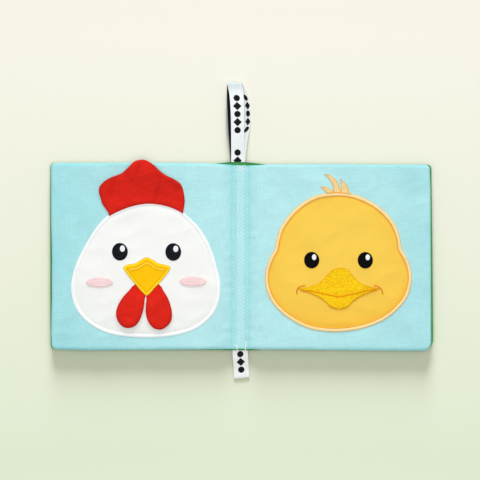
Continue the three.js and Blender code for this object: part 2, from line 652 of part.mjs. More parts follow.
function hen() {
  const size = [HEN_WIDTH, HEN_HEIGHT];
  const points = outline(HEN_SHARES, ...size, 44);
  const group = new THREE.Group();
  group.add(head("hen", points, HEN_BORDER, WHITE, WHITE));
  group.add(eyes("hen", HEN_EYE_SHARES, size, [HEN_EYE_WIDTH, HEN_EYE_HEIGHT], [HEN_GLINT_WIDTH, HEN_GLINT_HEIGHT]));
  Object.entries(CHEEK_SHARES).forEach(([label, place]) => {
    const cheek = mesh(`hen_cheek_${label}`, dome(ellipse(CHEEK_WIDTH, CHEEK_HEIGHT, 16), EMBROIDERY), PINK, 0.7);
    const centre = placed(place, ...size);
    cheek.position.set(centre.x, centre.y, APPLIQUE);
    group.add(cheek);
  });
  group.add(beak());
  group.add(wattle("left", LEFT_WATTLE_SHARES, LEFT_WATTLE_WIDTH, LEFT_WATTLE_HEIGHT, LEFT_WATTLE_PLACE_SHARES));
  group.add(wattle("right", RIGHT_WATTLE_SHARES, RIGHT_WATTLE_WIDTH, RIGHT_WATTLE_HEIGHT, RIGHT_WATTLE_PLACE_SHARES));
  group.add(comb(points));
  group.position.set(HEN_X, HEN_Y, PAGE_TOP);
  return group;
}

function bill() {
  const group = new THREE.Group();
  const mouth = UPPER_BILL_SHARES.map(([along, low]) => placed([along, low], BILL_WIDTH, BILL_HEIGHT));
  const creases = { left: LEFT_CREASE_SHARES, right: RIGHT_CREASE_SHARES };
  group.add(mesh("duck_bill_upper", billHalf(UPPER_BILL_SHARES, MOUTH_GAP / 2, 0), BRIGHT_YELLOW, 0.6));
  group.add(mesh("duck_bill_lower", billHalf(LOWER_BILL_SHARES, 0, MOUTH_GAP / 2), BRIGHT_YELLOW, 0.6));
  group.add(mesh("duck_mouth_seam", strand(lifted(mouth, 0), THREAD, THREAD), ORANGE, 0.6));
  Object.entries(creases).forEach(([label, shares]) => {
    const points = shares.map((share) => placed(share, BILL_WIDTH, BILL_HEIGHT));
    group.add(mesh(`duck_smile_crease_${label}`, strand(lifted(points, 0), CREASE_THREAD, EMBROIDERY), ORANGE, 0.6));
  });
  const centre = placed(BILL_PLACE_SHARES, DUCK_WIDTH, DUCK_HEIGHT);
  group.position.set(centre.x, centre.y, APPLIQUE);
  return group;
}

function duck() {
  const size = [DUCK_WIDTH, DUCK_HEIGHT];
  const group = new THREE.Group();
  group.add(head("duck", outline(DUCK_SHARES, ...size, 48), DUCK_BORDER, DUCK_YELLOW, PEACH));
  group.add(eyes("duck", DUCK_EYE_SHARES, size, [DUCK_EYE_WIDTH, DUCK_EYE_HEIGHT], [DUCK_GLINT_WIDTH, DUCK_GLINT_HEIGHT]));
  group.add(bill());
  const tuftPoints = TUFT_SHARES.map((share) => placed(share, TUFT_WIDTH, TUFT_HEIGHT));
  const tuft = mesh("duck_tuft", plate(counterclockwise(tuftPoints), EMBROIDERY), PEACH, 0.6);
  const centre = placed(TUFT_PLACE_SHARES, ...size);
  tuft.position.set(centre.x, centre.y, 0);
  group.add(tuft);
  group.position.set(DUCK_X, DUCK_Y, PAGE_TOP);
  return group;
}

const book = new THREE.Group();
book.add(leaf(-1, 1, pageNames("hen"), PAGE_WIDTH - GREEN_REVEAL, AQUA));
book.add(leaf(1, 1, pageNames("duck"), PAGE_WIDTH - GREEN_REVEAL, AQUA));
book.add(leaf(-1, -1, coverNames("front"), PAGE_WIDTH, GREEN));
book.add(leaf(1, -1, coverNames("back"), PAGE_WIDTH, GREEN));
book.add(spine(), tapes(), hen(), duck());
book.position.y = BOOK_Y;

const part = new THREE.Group();
part.add(book);

export default part;
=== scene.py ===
import math

import bpy
import numpy as np
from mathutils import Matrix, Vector
from mathutils.geometry import delaunay_2d_cdt


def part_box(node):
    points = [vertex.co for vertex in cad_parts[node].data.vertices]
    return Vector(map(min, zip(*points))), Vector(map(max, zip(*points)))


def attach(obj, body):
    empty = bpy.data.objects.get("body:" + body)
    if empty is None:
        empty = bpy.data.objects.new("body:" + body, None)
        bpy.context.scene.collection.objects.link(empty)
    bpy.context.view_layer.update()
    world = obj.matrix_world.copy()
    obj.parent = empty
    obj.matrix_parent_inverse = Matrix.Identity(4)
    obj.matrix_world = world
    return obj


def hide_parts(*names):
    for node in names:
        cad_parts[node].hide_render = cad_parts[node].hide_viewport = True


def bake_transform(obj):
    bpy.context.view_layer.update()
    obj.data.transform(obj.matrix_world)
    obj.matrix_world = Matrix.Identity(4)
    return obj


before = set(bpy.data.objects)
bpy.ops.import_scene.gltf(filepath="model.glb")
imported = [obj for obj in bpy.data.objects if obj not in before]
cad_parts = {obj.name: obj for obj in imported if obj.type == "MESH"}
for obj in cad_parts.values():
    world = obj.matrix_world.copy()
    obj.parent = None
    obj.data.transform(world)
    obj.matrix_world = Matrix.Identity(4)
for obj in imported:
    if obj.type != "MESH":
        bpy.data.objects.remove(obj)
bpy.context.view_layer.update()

MM = 0.001
page_low, page_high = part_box("hen_page_fabric")
BOOK_Y = (page_low.y + page_high.y) / 2 / MM

# The photograph: its size in pixels, the millimetres that one of them shows, and its middle.
PICTURE = 480
PIXEL = 0.79
PICTURE_CENTRE = (-0.395, 13.04, 7.4)
LENS = 180
SENSOR = 36

# The floor at the photograph's lower and upper end, and the low light that falls on it.
FLOOR_NEAR = (197, 207, 178)
FLOOR_FAR = (219, 218, 199)
FLOOR_LIGHT = 8.2
FLOOR_LIGHT_SPREAD = 21
FLOOR_LIGHT_TILT = -76
FLOOR_LIGHT_COLOUR = (0.85, 0.82, 1.0)

# The book.
PAGE_WIDTH = 151.0
PAGE_HEIGHT = 147.5
HALF_HEIGHT = PAGE_HEIGHT / 2
PAGE_CORNER = 3.5
# The spread's lower right corner is the roundest, of the green cloth more than of the aqua.
LOW_RIGHT_CORNER = (9.0, 6.4)
GREEN_REVEAL = 0.8
AQUA_WIDTH = PAGE_WIDTH - GREEN_REVEAL
AQUA_SEED = 11
RIM_WIDTH = 2.6
VALLEY_WIDTH = 9.4
COVER_VALLEY_WIDTH = 14.0
LEAF_START = 6.15
MIDDLE_Z = 3.7
LEAF_FOLD = (4.8, 8.0, 5.3)
COVER_FOLD = (5.8, 8.6, 2.1)
LEAF_SEAM = 1.9
LEAF_HALF = 1.8
SPINE_SEAM = 1.1
SPINE_HALF = 0.5
SEAM_X = 4.0
STITCH_LENGTH = 3.0
SEAM_SWING = 0.55
# Painted shade in the needle holes beside the spine.
HOLE_SHADE_COLOUR = (110, 190, 194)
APPLIQUE = 0.5

# The tapes and the marks printed on them.
LOOP_START = 71.0
LOOP_END = 137.6
TAPE_HALF = 6.05
PATH_PITCH = 0.9
TAB_PITCH = 0.7
PRINT_START = 25.8
PRINT_PITCH = 6.35
PRINT_REPEAT = 43.1
INK_COLOUR = (22, 22, 25)

# The heads, each with its centre and its size, and the sizes of what is sewn on them.
HEN = (-75.0, -10.5, 117.7, 106.6)
DUCK = (77.3, -4.5, 115.8, 109.9)
HEN_BORDER = 2.7
DUCK_BORDER = 2.6
HEN_EYE = (12.5, 13.9)
HEN_GLINT = (4.0, 5.0)
DUCK_EYE = (12.0, 13.1)
DUCK_GLINT = (3.5, 4.6)
CHEEK = (21.2, 7.9)
BEAK = (36.8, 30.0)
BEAK_BORDER = 2.2
COMB = (67.9, 32.5)
LEFT_WATTLE = (22.4, 34.0)
RIGHT_WATTLE = (20.9, 35.1)
TUFT = (24.2, 16.2)
BILL = (63.0, 32.5)

# Outlines, in shares of a width and a height from the middle. The comb's are from its sewn edge.
HEN_SHARES = [
    (0.04, 0.5), (0.155, 0.478), (0.245, 0.433), (0.3, 0.38), (0.355, 0.318), (0.412, 0.221),
    (0.452, 0.12), (0.478, 0.02), (0.498, -0.078), (0.5, -0.167), (0.485, -0.257), (0.445, -0.338),
    (0.379, -0.406), (0.306, -0.452), (0.207, -0.483), (0.09, -0.499), (-0.05, -0.5), (-0.17, -0.488),
    (-0.279, -0.458), (-0.371, -0.403), (-0.437, -0.336), (-0.484, -0.239), (-0.5, -0.13), (-0.489, -0.038),
    (-0.467, 0.04), (-0.436, 0.118), (-0.36, 0.267), (-0.32, 0.328), (-0.25, 0.405), (-0.134, 0.466),
    (-0.04, 0.494),
]
DUCK_SHARES = [
    (-0.018, 0.5), (-0.155, 0.477), (-0.265, 0.411), (-0.338, 0.335), (-0.397, 0.241), (-0.426, 0.144),
    (-0.433, 0.096), (-0.464, 0.036), (-0.491, -0.041), (-0.5, -0.118), (-0.49, -0.196), (-0.453, -0.285),
    (-0.387, -0.363), (-0.301, -0.427), (-0.191, -0.479), (-0.045, -0.5), (0.084, -0.492), (0.196, -0.466),
    (0.303, -0.419), (0.395, -0.348), (0.467, -0.255), (0.497, -0.157), (0.5, -0.09), (0.484, -0.012),
    (0.453, 0.058), (0.435, 0.088), (0.43, 0.108), (0.419, 0.18), (0.389, 0.265), (0.336, 0.342),
    (0.263, 0.409), (0.172, 0.462), (0.083, 0.492),
]
BEAK_SHARES = [
    (0.5, 0.24), (0.37, 0.31), (0.247, 0.34), (0.1, 0.45), (0, 0.5), (-0.1, 0.45), (-0.247, 0.34),
    (-0.4, 0.31), (-0.5, 0.24), (-0.384, 0.003), (-0.247, -0.2), (-0.105, -0.4), (0, -0.5),
    (0.095, -0.4), (0.247, -0.197), (0.375, -0.02),
]
LEFT_WATTLE_SHARES = [
    (0.162, 0.5), (-0.053, 0.365), (-0.275, 0.203), (-0.433, 0.024), (-0.5, -0.138), (-0.479, -0.27),
    (-0.387, -0.389), (-0.232, -0.477), (-0.053, -0.5), (0.173, -0.449), (0.331, -0.314),
    (0.419, -0.166), (0.475, -0.02), (0.5, 0.115), (0.5, 0.263),
]
RIGHT_WATTLE_SHARES = [
    (-0.428, 0.255), (-0.466, 0.169), (-0.49, 0.011), (-0.489, -0.119), (-0.428, -0.277),
    (-0.307, -0.405), (-0.14, -0.484), (0.102, -0.5), (0.322, -0.421), (0.466, -0.306),
    (0.497, -0.133), (0.44, 0.045), (0.345, 0.2), (0.205, 0.342), (0.008, 0.5),
]
COMB_SHARES = [
    (0.5, 0), (0.497, 0.07), (0.475, 0.31), (0.44, 0.43), (0.37, 0.53), (0.29, 0.61), (0.215, 0.72),
    (0.145, 0.86), (0.1, 0.93), (0.02, 1), (-0.05, 0.98), (-0.09, 0.95), (-0.17, 0.78), (-0.23, 0.67),
    (-0.35, 0.57), (-0.44, 0.46), (-0.49, 0.34), (-0.5, 0.23), (-0.485, 0.1), (-0.47, 0),
]
TUFT_SHARES = [
    (-0.265, -0.469), (-0.34, -0.326), (-0.5, -0.131), (-0.356, -0.151), (-0.18, -0.254),
    (-0.059, -0.4), (-0.046, -0.377), (-0.092, -0.028), (-0.209, 0.274), (-0.386, 0.5),
    (-0.18, 0.408), (-0.036, 0.249), (0.098, -0.028), (0.15, -0.37), (0.18, -0.387),
    (0.199, 0.018), (0.154, 0.238), (0.258, 0.09), (0.36, -0.069), (0.448, -0.43),
    (0.474, -0.5), (0.271, -0.455), (0.01, -0.445),
]
# The bill's edges from its left to its right corner: the top edge, the mouth line and the bottom edge.
BILL_TOP = [
    (-0.5, -0.021), (-0.357, 0.045), (-0.24, 0.142), (-0.139, 0.339), (-0.055, 0.468), (0.012, 0.5),
    (0.096, 0.468), (0.164, 0.339), (0.248, 0.159), (0.364, 0.052), (0.5, -0.004),
]
BILL_MOUTH = [
    (-0.49, -0.035), (-0.37, -0.06), (-0.25, -0.1), (-0.15, -0.145), (-0.06, -0.18), (0.01, -0.198),
    (0.09, -0.175), (0.17, -0.135), (0.26, -0.095), (0.37, -0.045), (0.49, -0.015),
]
BILL_BOTTOM = [
    (-0.46, -0.05), (-0.375, -0.101), (-0.274, -0.184), (-0.173, -0.313), (-0.088, -0.461), (0.012, -0.5),
    (0.096, -0.461), (0.18, -0.313), (0.264, -0.198), (0.382, -0.101), (0.46, -0.045),
]
LEFT_CREASE = [(-0.416, 0.075), (-0.47, 0.055), (-0.512, 0.01), (-0.527, -0.06), (-0.522, -0.145)]
RIGHT_CREASE = [(0.441, 0.075), (0.487, 0.055), (0.522, 0.01), (0.545, -0.06), (0.55, -0.145)]
# The creases in the comb's cloth, from their upper to their lower ends.
COMB_FOLDS = [
    ((-0.29, 0.6), (-0.37, 0.28)), ((-0.2, 0.74), (-0.12, 0.5)), ((0.12, 0.86), (0.19, 0.62)),
    ((0.22, 0.56), (0.16, 0.1)), ((0.33, 0.48), (0.42, 0.3)), ((-0.03, 0.86), (-0.07, 0.6)),
]


# Plane curves.


def unit(vectors):
    return vectors / np.linalg.norm(vectors, axis=1)[:, None]


def ease(t):
    """From 0 to 1 with a gentle start and end."""
    t = np.clip(t, 0, 1)
    return t * t * (3 - 2 * t)


def bell(gap, width):
    """1 where the gap is 0, and little beyond one and a half widths."""
    return np.exp(-((gap / width) ** 2))


def dome(depth, rim):
    """The share of its full height that padding has at a depth inside its edge."""
    return np.sqrt(1 - (1 - np.clip(depth / rim, 0, 1)) ** 2)


def between(t, start, end, a, b):
    return (end - t) / (end - start) * a + (t - start) / (end - start) * b


def smooth(points, closed=True, steps=12):
    """A centripetal curve through the points, evenly spaced afterwards by resample()."""
    p = np.asarray(points, float)
    if closed:
        p = np.vstack([p[-1:], p, p[:2]])
    else:
        p = np.vstack([2 * p[:1] - p[1:2], p, 2 * p[-1:] - p[-2:-1]])
    out = []
    for a, b, c, d in zip(p[:-3], p[1:-2], p[2:-1], p[3:]):
        t1 = max(np.linalg.norm(b - a) ** 0.5, 1e-6)
        t2 = t1 + max(np.linalg.norm(c - b) ** 0.5, 1e-6)
        t3 = t2 + max(np.linalg.norm(d - c) ** 0.5, 1e-6)
        t = np.linspace(t1, t2, steps, endpoint=False)[:, None]
        bc = between(t, t1, t2, b, c)
        abc = between(t, 0, t2, between(t, 0, t1, a, b), bc)
        bcd = between(t, t1, t3, bc, between(t, t2, t3, c, d))
        out.append(between(t, t1, t2, abc, bcd))
    out = np.vstack(out)
    return out if closed else np.vstack([out, p[-2:-1]])


def resample(points, pitch, closed=True):
    p = np.asarray(points, float)
    if closed:
        p = np.vstack([p, p[:1]])
    length = np.concatenate([[0], np.cumsum(np.linalg.norm(np.diff(p, axis=0), axis=1))])
    count = max(int(round(length[-1] / pitch)), 8)
    at = np.linspace(0, length[-1], count, endpoint=not closed)
    return np.stack([np.interp(at, length, p[:, k]) for k in range(p.shape[1])], 1)


def area(p):
    return 0.5 * np.sum(p[:, 0] * np.roll(p[:, 1], -1) - np.roll(p[:, 0], -1) * p[:, 1])


def outline(points, pitch):
    """Evenly spaced points of a closed outline, counterclockwise."""
    p = resample(points, pitch)
    return p[::-1] if area(p) < 0 else p


def placed(shares, place):
    """Points from shares of a width and a height about a centre."""
    return np.asarray(shares) * place[2:] + place[:2]


def open_line(points, pitch):
    return resample(smooth(points, closed=False), pitch, closed=False)


def shape(shares, place, pitch=1.0, inset=0.0):
    """A smooth closed outline, counterclockwise."""
    p = outline(smooth(placed(shares, place)), pitch)
    return offset(p, inset) if inset else p


def offset(p, inwards):
    """A counterclockwise outline moved inwards; points that would cross over are dropped."""
    moved = p + inward(p) * inwards
    gap = distance(moved, p)
    return moved[gap > abs(inwards) * 0.97 - 1e-6]


def inward(p):
    run = np.roll(p, -1, 0) - np.roll(p, 1, 0)
    return unit(np.stack([-run[:, 1], run[:, 0]], 1))


def raised(p, height):
    """Points of the plane with the height there."""
    return np.column_stack([p, height(p[:, 0], p[:, 1])])


def distance(points, edge, closed=True):
    """How far each point is from the edge line."""
    a = edge if closed else edge[:-1]
    b = np.roll(edge, -1, 0) if closed else edge[1:]
    ab = b - a
    best = np.full(len(points), 1e9)
    for start in range(0, len(points), 4000):
        q = points[start:start + 4000]
        t = np.clip(np.einsum("pek,ek->pe", q[:, None] - a[None], ab) / (ab ** 2).sum(1), 0, 1)
        gap = q[:, None] - (a[None] + t[..., None] * ab[None])
        best[start:start + 4000] = np.sqrt((gap ** 2).sum(2).min(1))
    return best


def inside(points, edge):
    x, y = points[:, 0][:, None], points[:, 1][:, None]
    ax, ay = edge[:, 0], edge[:, 1]
    bx, by = np.roll(ax, -1), np.roll(ay, -1)
    rise = np.where(np.abs(by - ay) < 1e-12, 1e-12, by - ay)
    crosses = ((ay > y) != (by > y)) & (x < (bx - ax) * (y - ay) / rise + ax)
    return crosses.sum(1) % 2 == 1


def waves(x, y, length, seed, stretch=(1, 1)):
    """A smooth random height, mostly between -1 and 1, with bumps about that many millimetres apart."""
    rng = np.random.default_rng(seed)
    count = 20
    angle = rng.uniform(0, 2 * np.pi, count)
    size = 2 * np.pi / (length * rng.uniform(0.75, 1.4, count))
    phase = rng.uniform(0, 2 * np.pi, count)
    total = np.zeros(np.shape(x))
    for a, s, f in zip(angle, size, phase):
        total = total + np.sin(x / stretch[0] * s * math.cos(a) + y / stretch[1] * s * math.sin(a) + f)
    return total / math.sqrt(count)


# Meshes.


def thing(name, data):
    """A new object of the scene."""
    obj = bpy.data.objects.new(name, data)
    bpy.context.scene.collection.objects.link(obj)
    return obj


def add(name, points, faces, material, marks=None):
    """A piece from points in millimetres, with its material's slot. marks are values at its points."""
    mesh = bpy.data.meshes.new(name)
    p = np.asarray(points, float).copy()
    p[:, 1] += BOOK_Y
    mesh.from_pydata((p * MM).tolist(), [], [tuple(map(int, face)) for face in faces])
    mesh.update()
    mesh.shade_smooth()
    mesh.set_sharp_from_angle(angle=math.radians(60))
    rest = mesh.attributes.new("rest", "FLOAT_VECTOR", "POINT")
    rest.data.foreach_set("vector", (p * MM).astype(np.float32).ravel())
    for label, values in (marks or {}).items():
        layer = mesh.attributes.new(label, "FLOAT", "POINT")
        layer.data.foreach_set("value", np.asarray(values, np.float32).ravel())
    obj = thing(name, mesh)
    mesh.materials.append(material)
    return obj


def slab(name, top, bottom, material, flip=False, marks=None):
    """A closed body between two grids of points."""
    rows, cols = top.shape[:2]
    index = np.arange(rows * cols).reshape(rows, cols)
    a, b = index[:-1, :-1].ravel(), index[1:, :-1].ravel()
    c, d = index[1:, 1:].ravel(), index[:-1, 1:].ravel()
    n = rows * cols
    faces = [*zip(a, b, c, d)] + [*zip(a + n, d + n, c + n, b + n)]
    rim = [*index[:, 0], *index[-1, 1:], *index[-2::-1, -1], *index[0, -2:0:-1]]
    faces += [(i, i + n, j + n, j) for i, j in zip(rim, rim[1:] + rim[:1])]
    if flip:
        faces = [f[::-1] for f in faces]
    both = {label: np.concatenate([v.ravel(), v.ravel()]) for label, v in (marks or {}).items()}
    return add(name, np.vstack([top.reshape(-1, 3), bottom.reshape(-1, 3)]), faces, material, marks=both)


def patch(name, edge, spacing, top, bottom, material, shade=None):
    """A closed body over an outline. top and bottom give heights from x, y and the distance to the edge."""
    low, high = edge.min(0), edge.max(0)
    xs = np.arange(low[0], high[0], spacing)
    ys = np.arange(low[1], high[1], spacing * 0.866)
    gx, gy = np.meshgrid(xs, ys)
    gx[1::2] += spacing / 2
    grid = np.stack([gx.ravel(), gy.ravel()], 1)
    grid = grid[inside(grid, edge)]
    grid = grid[distance(grid, edge) > spacing * 0.5]
    points = np.vstack([edge, grid])
    loop = [(i, (i + 1) % len(edge)) for i in range(len(edge))]
    flat, _, faces, *_ = delaunay_2d_cdt([Vector(p) for p in points], loop, [], 1, 1e-7)
    flat = np.array([tuple(v) for v in flat])
    gap = distance(flat, edge)
    n = len(flat)
    upper, lower = (raised(flat, lambda x, y: face(x, y, gap)) for face in (top, bottom))
    turned = [tuple(f)[::-1] if area(flat[list(f)]) < 0 else tuple(f) for f in faces]
    edges = dict.fromkeys(pair for f in turned for pair in zip(f, f[1:] + f[:1]))
    rim = [(i, j) for i, j in edges if (j, i) not in edges]
    body = turned + [tuple(i + n for i in f[::-1]) for f in turned]
    body += [(i, i + n, j + n, j) for i, j in rim]
    marks = {"shade": np.tile(shade(flat[:, 0], flat[:, 1], gap), 2)} if shade else None
    return add(name, np.vstack([upper, lower]), body, material, marks=marks)


def satin(name, edge, width, height, base, material, pitch=0.62, thread=0.09):
    """A raised row of satin stitches round an outline, from the outline inwards."""
    p = resample(edge, pitch / 4)
    n = inward(p)
    count = len(p)
    rng = np.random.default_rng(len(name) * 7 + count)
    across = np.linspace(0, 1, 9)
    stitch = (np.arange(count) // 4) % (count // 4 + 1)
    ragged = rng.uniform(-0.12, 0.12, (count // 4 + 2, 2))[stitch]
    round_top = 0.5 - 0.5 * np.cos(2 * np.pi * np.arange(count) / 4)
    rows = []
    for t in across:
        inset = t * width + ragged[:, 0] * (1 - t) + ragged[:, 1] * t
        q = p + n * inset[:, None]
        rise = (1 - abs(2 * t - 1) ** 3) ** 0.6
        z = base(q[:, 0], q[:, 1]) + height * rise + thread * round_top * (0.3 + rise) - 0.12
        rows.append(np.column_stack([q, z]))
    grid = np.stack(rows, 1)
    index = np.arange(count * len(across)).reshape(count, -1)
    corners = (index, np.roll(index, -1, 0), np.roll(index, (-1, -1), (0, 1)), np.roll(index, -1, 1))
    return add(name, grid.reshape(-1, 3), [*zip(*(corner.T.ravel() for corner in corners))], material)


def tube(points, radius, sides=6):
    """Points and faces of a closed thread along a path. radius is one number or one for each point."""
    p = np.asarray(points, float)
    run = unit(np.gradient(p, axis=0))
    side = np.cross(run, (0, 0, 1))
    side[np.linalg.norm(side, axis=1) < 1e-6] = (1, 0, 0)
    side = unit(side)
    up = np.cross(side, run)
    angle = np.linspace(0, 2 * np.pi, sides, endpoint=False)
    r = np.broadcast_to(radius, len(p))[:, None, None]
    ring = side[:, None] * np.cos(angle)[None, :, None] + up[:, None] * np.sin(angle)[None, :, None]
    v = (p[:, None] + r * ring).reshape(-1, 3)
    index = np.arange(len(v)).reshape(len(p), sides)
    beside = np.roll(index, -1, 1)
    faces = [*zip(index[:-1].ravel(), index[1:].ravel(), beside[1:].ravel(), beside[:-1].ravel())]
    return v, [*faces, index[0], index[-1, ::-1]]


def threads(name, paths, radius, material):
    """One piece made of several threads."""
    points, faces, n = [], [], 0
    for path in paths:
        p = np.asarray(path, float)
        r = radius * np.clip(np.minimum(np.arange(len(p)), np.arange(len(p))[::-1]) * 0.45 + 0.55, 0, 1)
        v, f = tube(p, r)
        points.append(v)
        faces += [tuple(i + n for i in face) for face in f]
        n += len(v)
    return add(name, np.vstack(points), faces, material)


def stitches(line, length, gap, height, sink=0.25):
    """Paths of separate stitches along a line in the plane. height gives the surface."""
    p = resample(line, 0.1, closed=False)
    total = (len(p) - 1) * 0.1
    count = int(total // (length + gap))
    start = (total - count * (length + gap) + gap) / 2
    made = []
    for i in range(count):
        at = start + i * (length + gap) + np.linspace(0, length, 7)
        xy = p[np.clip((at / 0.1).round().astype(int), 0, len(p) - 1)]
        arch = np.sin(np.linspace(0, np.pi, 7)) ** 0.5 * (sink + 0.12) - sink
        made.append(raised(xy, height) + np.outer(arch, (0, 0, 1)))
    return made


# Materials.


def nodes_of(name):
    """A new material, its node tree and its shader."""
    material = bpy.data.materials.new(name)
    material.use_nodes = True
    tree = material.node_tree
    return material, tree, tree.nodes["Principled BSDF"]


def put(tree, value, socket):
    """Links a socket to a value that another node gives, or sets it."""
    if isinstance(value, bpy.types.NodeSocket):
        tree.links.new(value, socket)
    else:
        socket.default_value = value


def node(tree, kind, **values):
    made = tree.nodes.new(kind)
    for key, value in values.items():
        if key in made.inputs:
            put(tree, value, made.inputs[key])
        else:
            setattr(made, key, value)
    return made


def maths(tree, operation, *values):
    made = node(tree, "ShaderNodeMath", operation=operation)
    for slot, value in enumerate(values):
        put(tree, value, made.inputs[slot])
    return made.outputs[0]


def mix(tree, factor, a, b):
    """A mix of two colours. The node also has sockets for numbers and vectors, which stay unused."""
    made = node(tree, "ShaderNodeMix", data_type="RGBA")
    for slot, value in ((0, factor), (6, a), (7, b)):
        put(tree, value, made.inputs[slot])
    return made.outputs[2]


def ramp(tree, value, low, high):
    limits = {"From Min": low, "From Max": high}
    return node(tree, "ShaderNodeMapRange", Value=value, **limits).outputs["Result"]


def mark(tree, label):
    return node(tree, "ShaderNodeAttribute", attribute_name=label).outputs["Fac"]


def linear(rgb):
    c = np.array(rgb) / 255
    return [*np.where(c <= 0.04045, c / 12.92, ((c + 0.055) / 1.055) ** 2.4), 1.0]


def scaled(colour, share):
    return [min(c * share, 1.0) for c in colour[:3]] + [1.0]


def rest_place(tree):
    """Where a point lies at rest, in metres, so that patterns stay on cloth that bends."""
    return node(tree, "ShaderNodeAttribute", attribute_name="rest").outputs["Vector"]


def grain(tree, stretch, detail=3.0):
    """Noise stretched along X and Y."""
    size = node(tree, "ShaderNodeMapping", Vector=rest_place(tree), Scale=(*stretch, 1.0))
    vector = size.outputs["Vector"]
    noise = node(tree, "ShaderNodeTexNoise", Vector=vector, Scale=1, Detail=detail, Roughness=0.6)
    return noise.outputs["Fac"]


def bands(tree, scale, distortion, direction):
    wave = node(tree, "ShaderNodeTexWave", Vector=rest_place(tree), Scale=scale, Distortion=distortion,
                bands_direction=direction)
    wave.inputs["Detail Scale"].default_value = 3
    return wave.outputs["Fac"]


def weave(tree, pitch):
    """The over and under of a plain weave, from 0 to 2."""
    return maths(tree, "ADD", *[bands(tree, 1 / pitch / MM / 3.18, 0.6, direction) for direction in "XY"])


def surface(tree, shader, colour, roughness, gloss):
    tree.links.new(colour, shader.inputs["Base Color"])
    shader.inputs["Roughness"].default_value = roughness
    shader.inputs["Specular IOR Level"].default_value = gloss


def bumped(tree, shader, value, depth):
    bump = node(tree, "ShaderNodeBump", Height=value, Strength=1.0, Distance=depth * MM)
    tree.links.new(bump.outputs["Normal"], shader.inputs["Normal"])


def cotton(tree, rgb, slub):
    """The colour of woven cotton: slubs along both threads and soft patches."""
    dark, light = scaled(linear(rgb), 1 - slub), scaled(linear(rgb), 1 + slub * 0.6)
    across = ramp(tree, grain(tree, (110, 950)), 0.3, 0.7)
    along = ramp(tree, grain(tree, (1100, 110)), 0.3, 0.7)
    soft = ramp(tree, grain(tree, (35, 35), 2.0), 0.3, 0.7)
    colour = mix(tree, across, dark, light)
    colour = mix(tree, 0.5, colour, mix(tree, along, dark, light))
    return mix(tree, 0.25, colour, mix(tree, soft, dark, light))


def cloth(name, rgb, slub, pitch=0.5, depth=0.06, shade_rgb=None, hole_shade=False, printed=False):
    """Plain woven cotton. shade_rgb is its colour in painted shade, mixed in where the mark called shade says
    so.
    """
    material, tree, shader = nodes_of(name)
    colour = cotton(tree, rgb, slub)
    if shade_rgb:
        colour = mix(tree, mark(tree, "shade"), colour, cotton(tree, shade_rgb, slub))
    if hole_shade:
        colour = mix(tree, painted_hole_shade(tree), colour, linear(HOLE_SHADE_COLOUR))
    if printed:
        colour = mix(tree, printed_marks(tree), colour, linear(INK_COLOUR))
    surface(tree, shader, colour, 0.9, 0.15)
    shader.inputs["Sheen Weight"].default_value = 0.04
    shader.inputs["Sheen Roughness"].default_value = 0.5
    bumped(tree, shader, weave(tree, pitch), depth)
    return material


def painted_hole_shade(tree):
    """Painted shade in the needle holes where the zigzag stitches beside the spine go down through the cloth.
    """
    split = node(tree, "ShaderNodeSeparateXYZ", Vector=rest_place(tree))
    out = maths(tree, "SUBTRACT", maths(tree, "ABSOLUTE", split.outputs[0]), SEAM_X * MM)
    half = STITCH_LENGTH / 2 * MM
    hole_shade = []
    for side in (-1, 1):
        x = maths(tree, "SUBTRACT", out, side * SEAM_SWING * MM)
        start = (BOOK_Y + (side - 1) / 2 * STITCH_LENGTH / 2) * MM
        y = maths(tree, "WRAP", maths(tree, "SUBTRACT", split.outputs[1], start), half, -half)
        hole_shade.append(ramp(tree, radius(tree, x, y), 0.62 * MM, 0.25 * MM))
    return maths(tree, "MULTIPLY", maths(tree, "MAXIMUM", *hole_shade), 0.75)


def radius(tree, x, y):
    """How far from zero a place is."""
    squares = [maths(tree, "MULTIPLY", value, value) for value in (x, y)]
    return maths(tree, "SQRT", maths(tree, "ADD", *squares))


def printed_marks(tree):
    """Rows of five plain discs and diamonds along a tape, with gaps between the rows."""
    since = maths(tree, "SUBTRACT", mark(tree, "along"), PRINT_START)
    step = maths(tree, "DIVIDE", maths(tree, "FLOORED_MODULO", since, PRINT_REPEAT), PRINT_PITCH)
    count = maths(tree, "FLOOR", step)
    share = maths(tree, "SUBTRACT", maths(tree, "SUBTRACT", step, count), 0.5)
    u, v = maths(tree, "MULTIPLY", share, PRINT_PITCH), mark(tree, "across")
    disc = ramp(tree, radius(tree, u, v), 2.6, 2.45)
    pointed = maths(tree, "ADD", maths(tree, "ABSOLUTE", u), maths(tree, "ABSOLUTE", v))
    diamond = ramp(tree, pointed, 3.45, 3.3)
    odd = maths(tree, "FLOORED_MODULO", count, 2.0)
    even = maths(tree, "SUBTRACT", 1.0, odd)
    chosen = [maths(tree, "MULTIPLY", *pair) for pair in ((disc, even), (diamond, odd))]
    return maths(tree, "MULTIPLY", maths(tree, "LESS_THAN", count, 4.5), maths(tree, "ADD", *chosen))


def floss(name, rgb, shade, gloss=0.15, stretch=(700, 700), rows=None):
    """Embroidery thread. rows is the colour in the hollows of wavy rows of stitches."""
    material, tree, shader = nodes_of(name)
    base = linear(rgb)
    colour = mix(tree, ramp(tree, grain(tree, stretch), 0.35, 0.65), scaled(base, 1 - shade), base)
    if rows:
        colour = mix(tree, ramp(tree, bands(tree, 150.0, 11.0, "Y"), 0.5, 0.0), colour, linear(rows))
    surface(tree, shader, colour, 0.6, gloss)
    bumped(tree, shader, grain(tree, (2500, 2500), 2.0), 0.03)
    return material


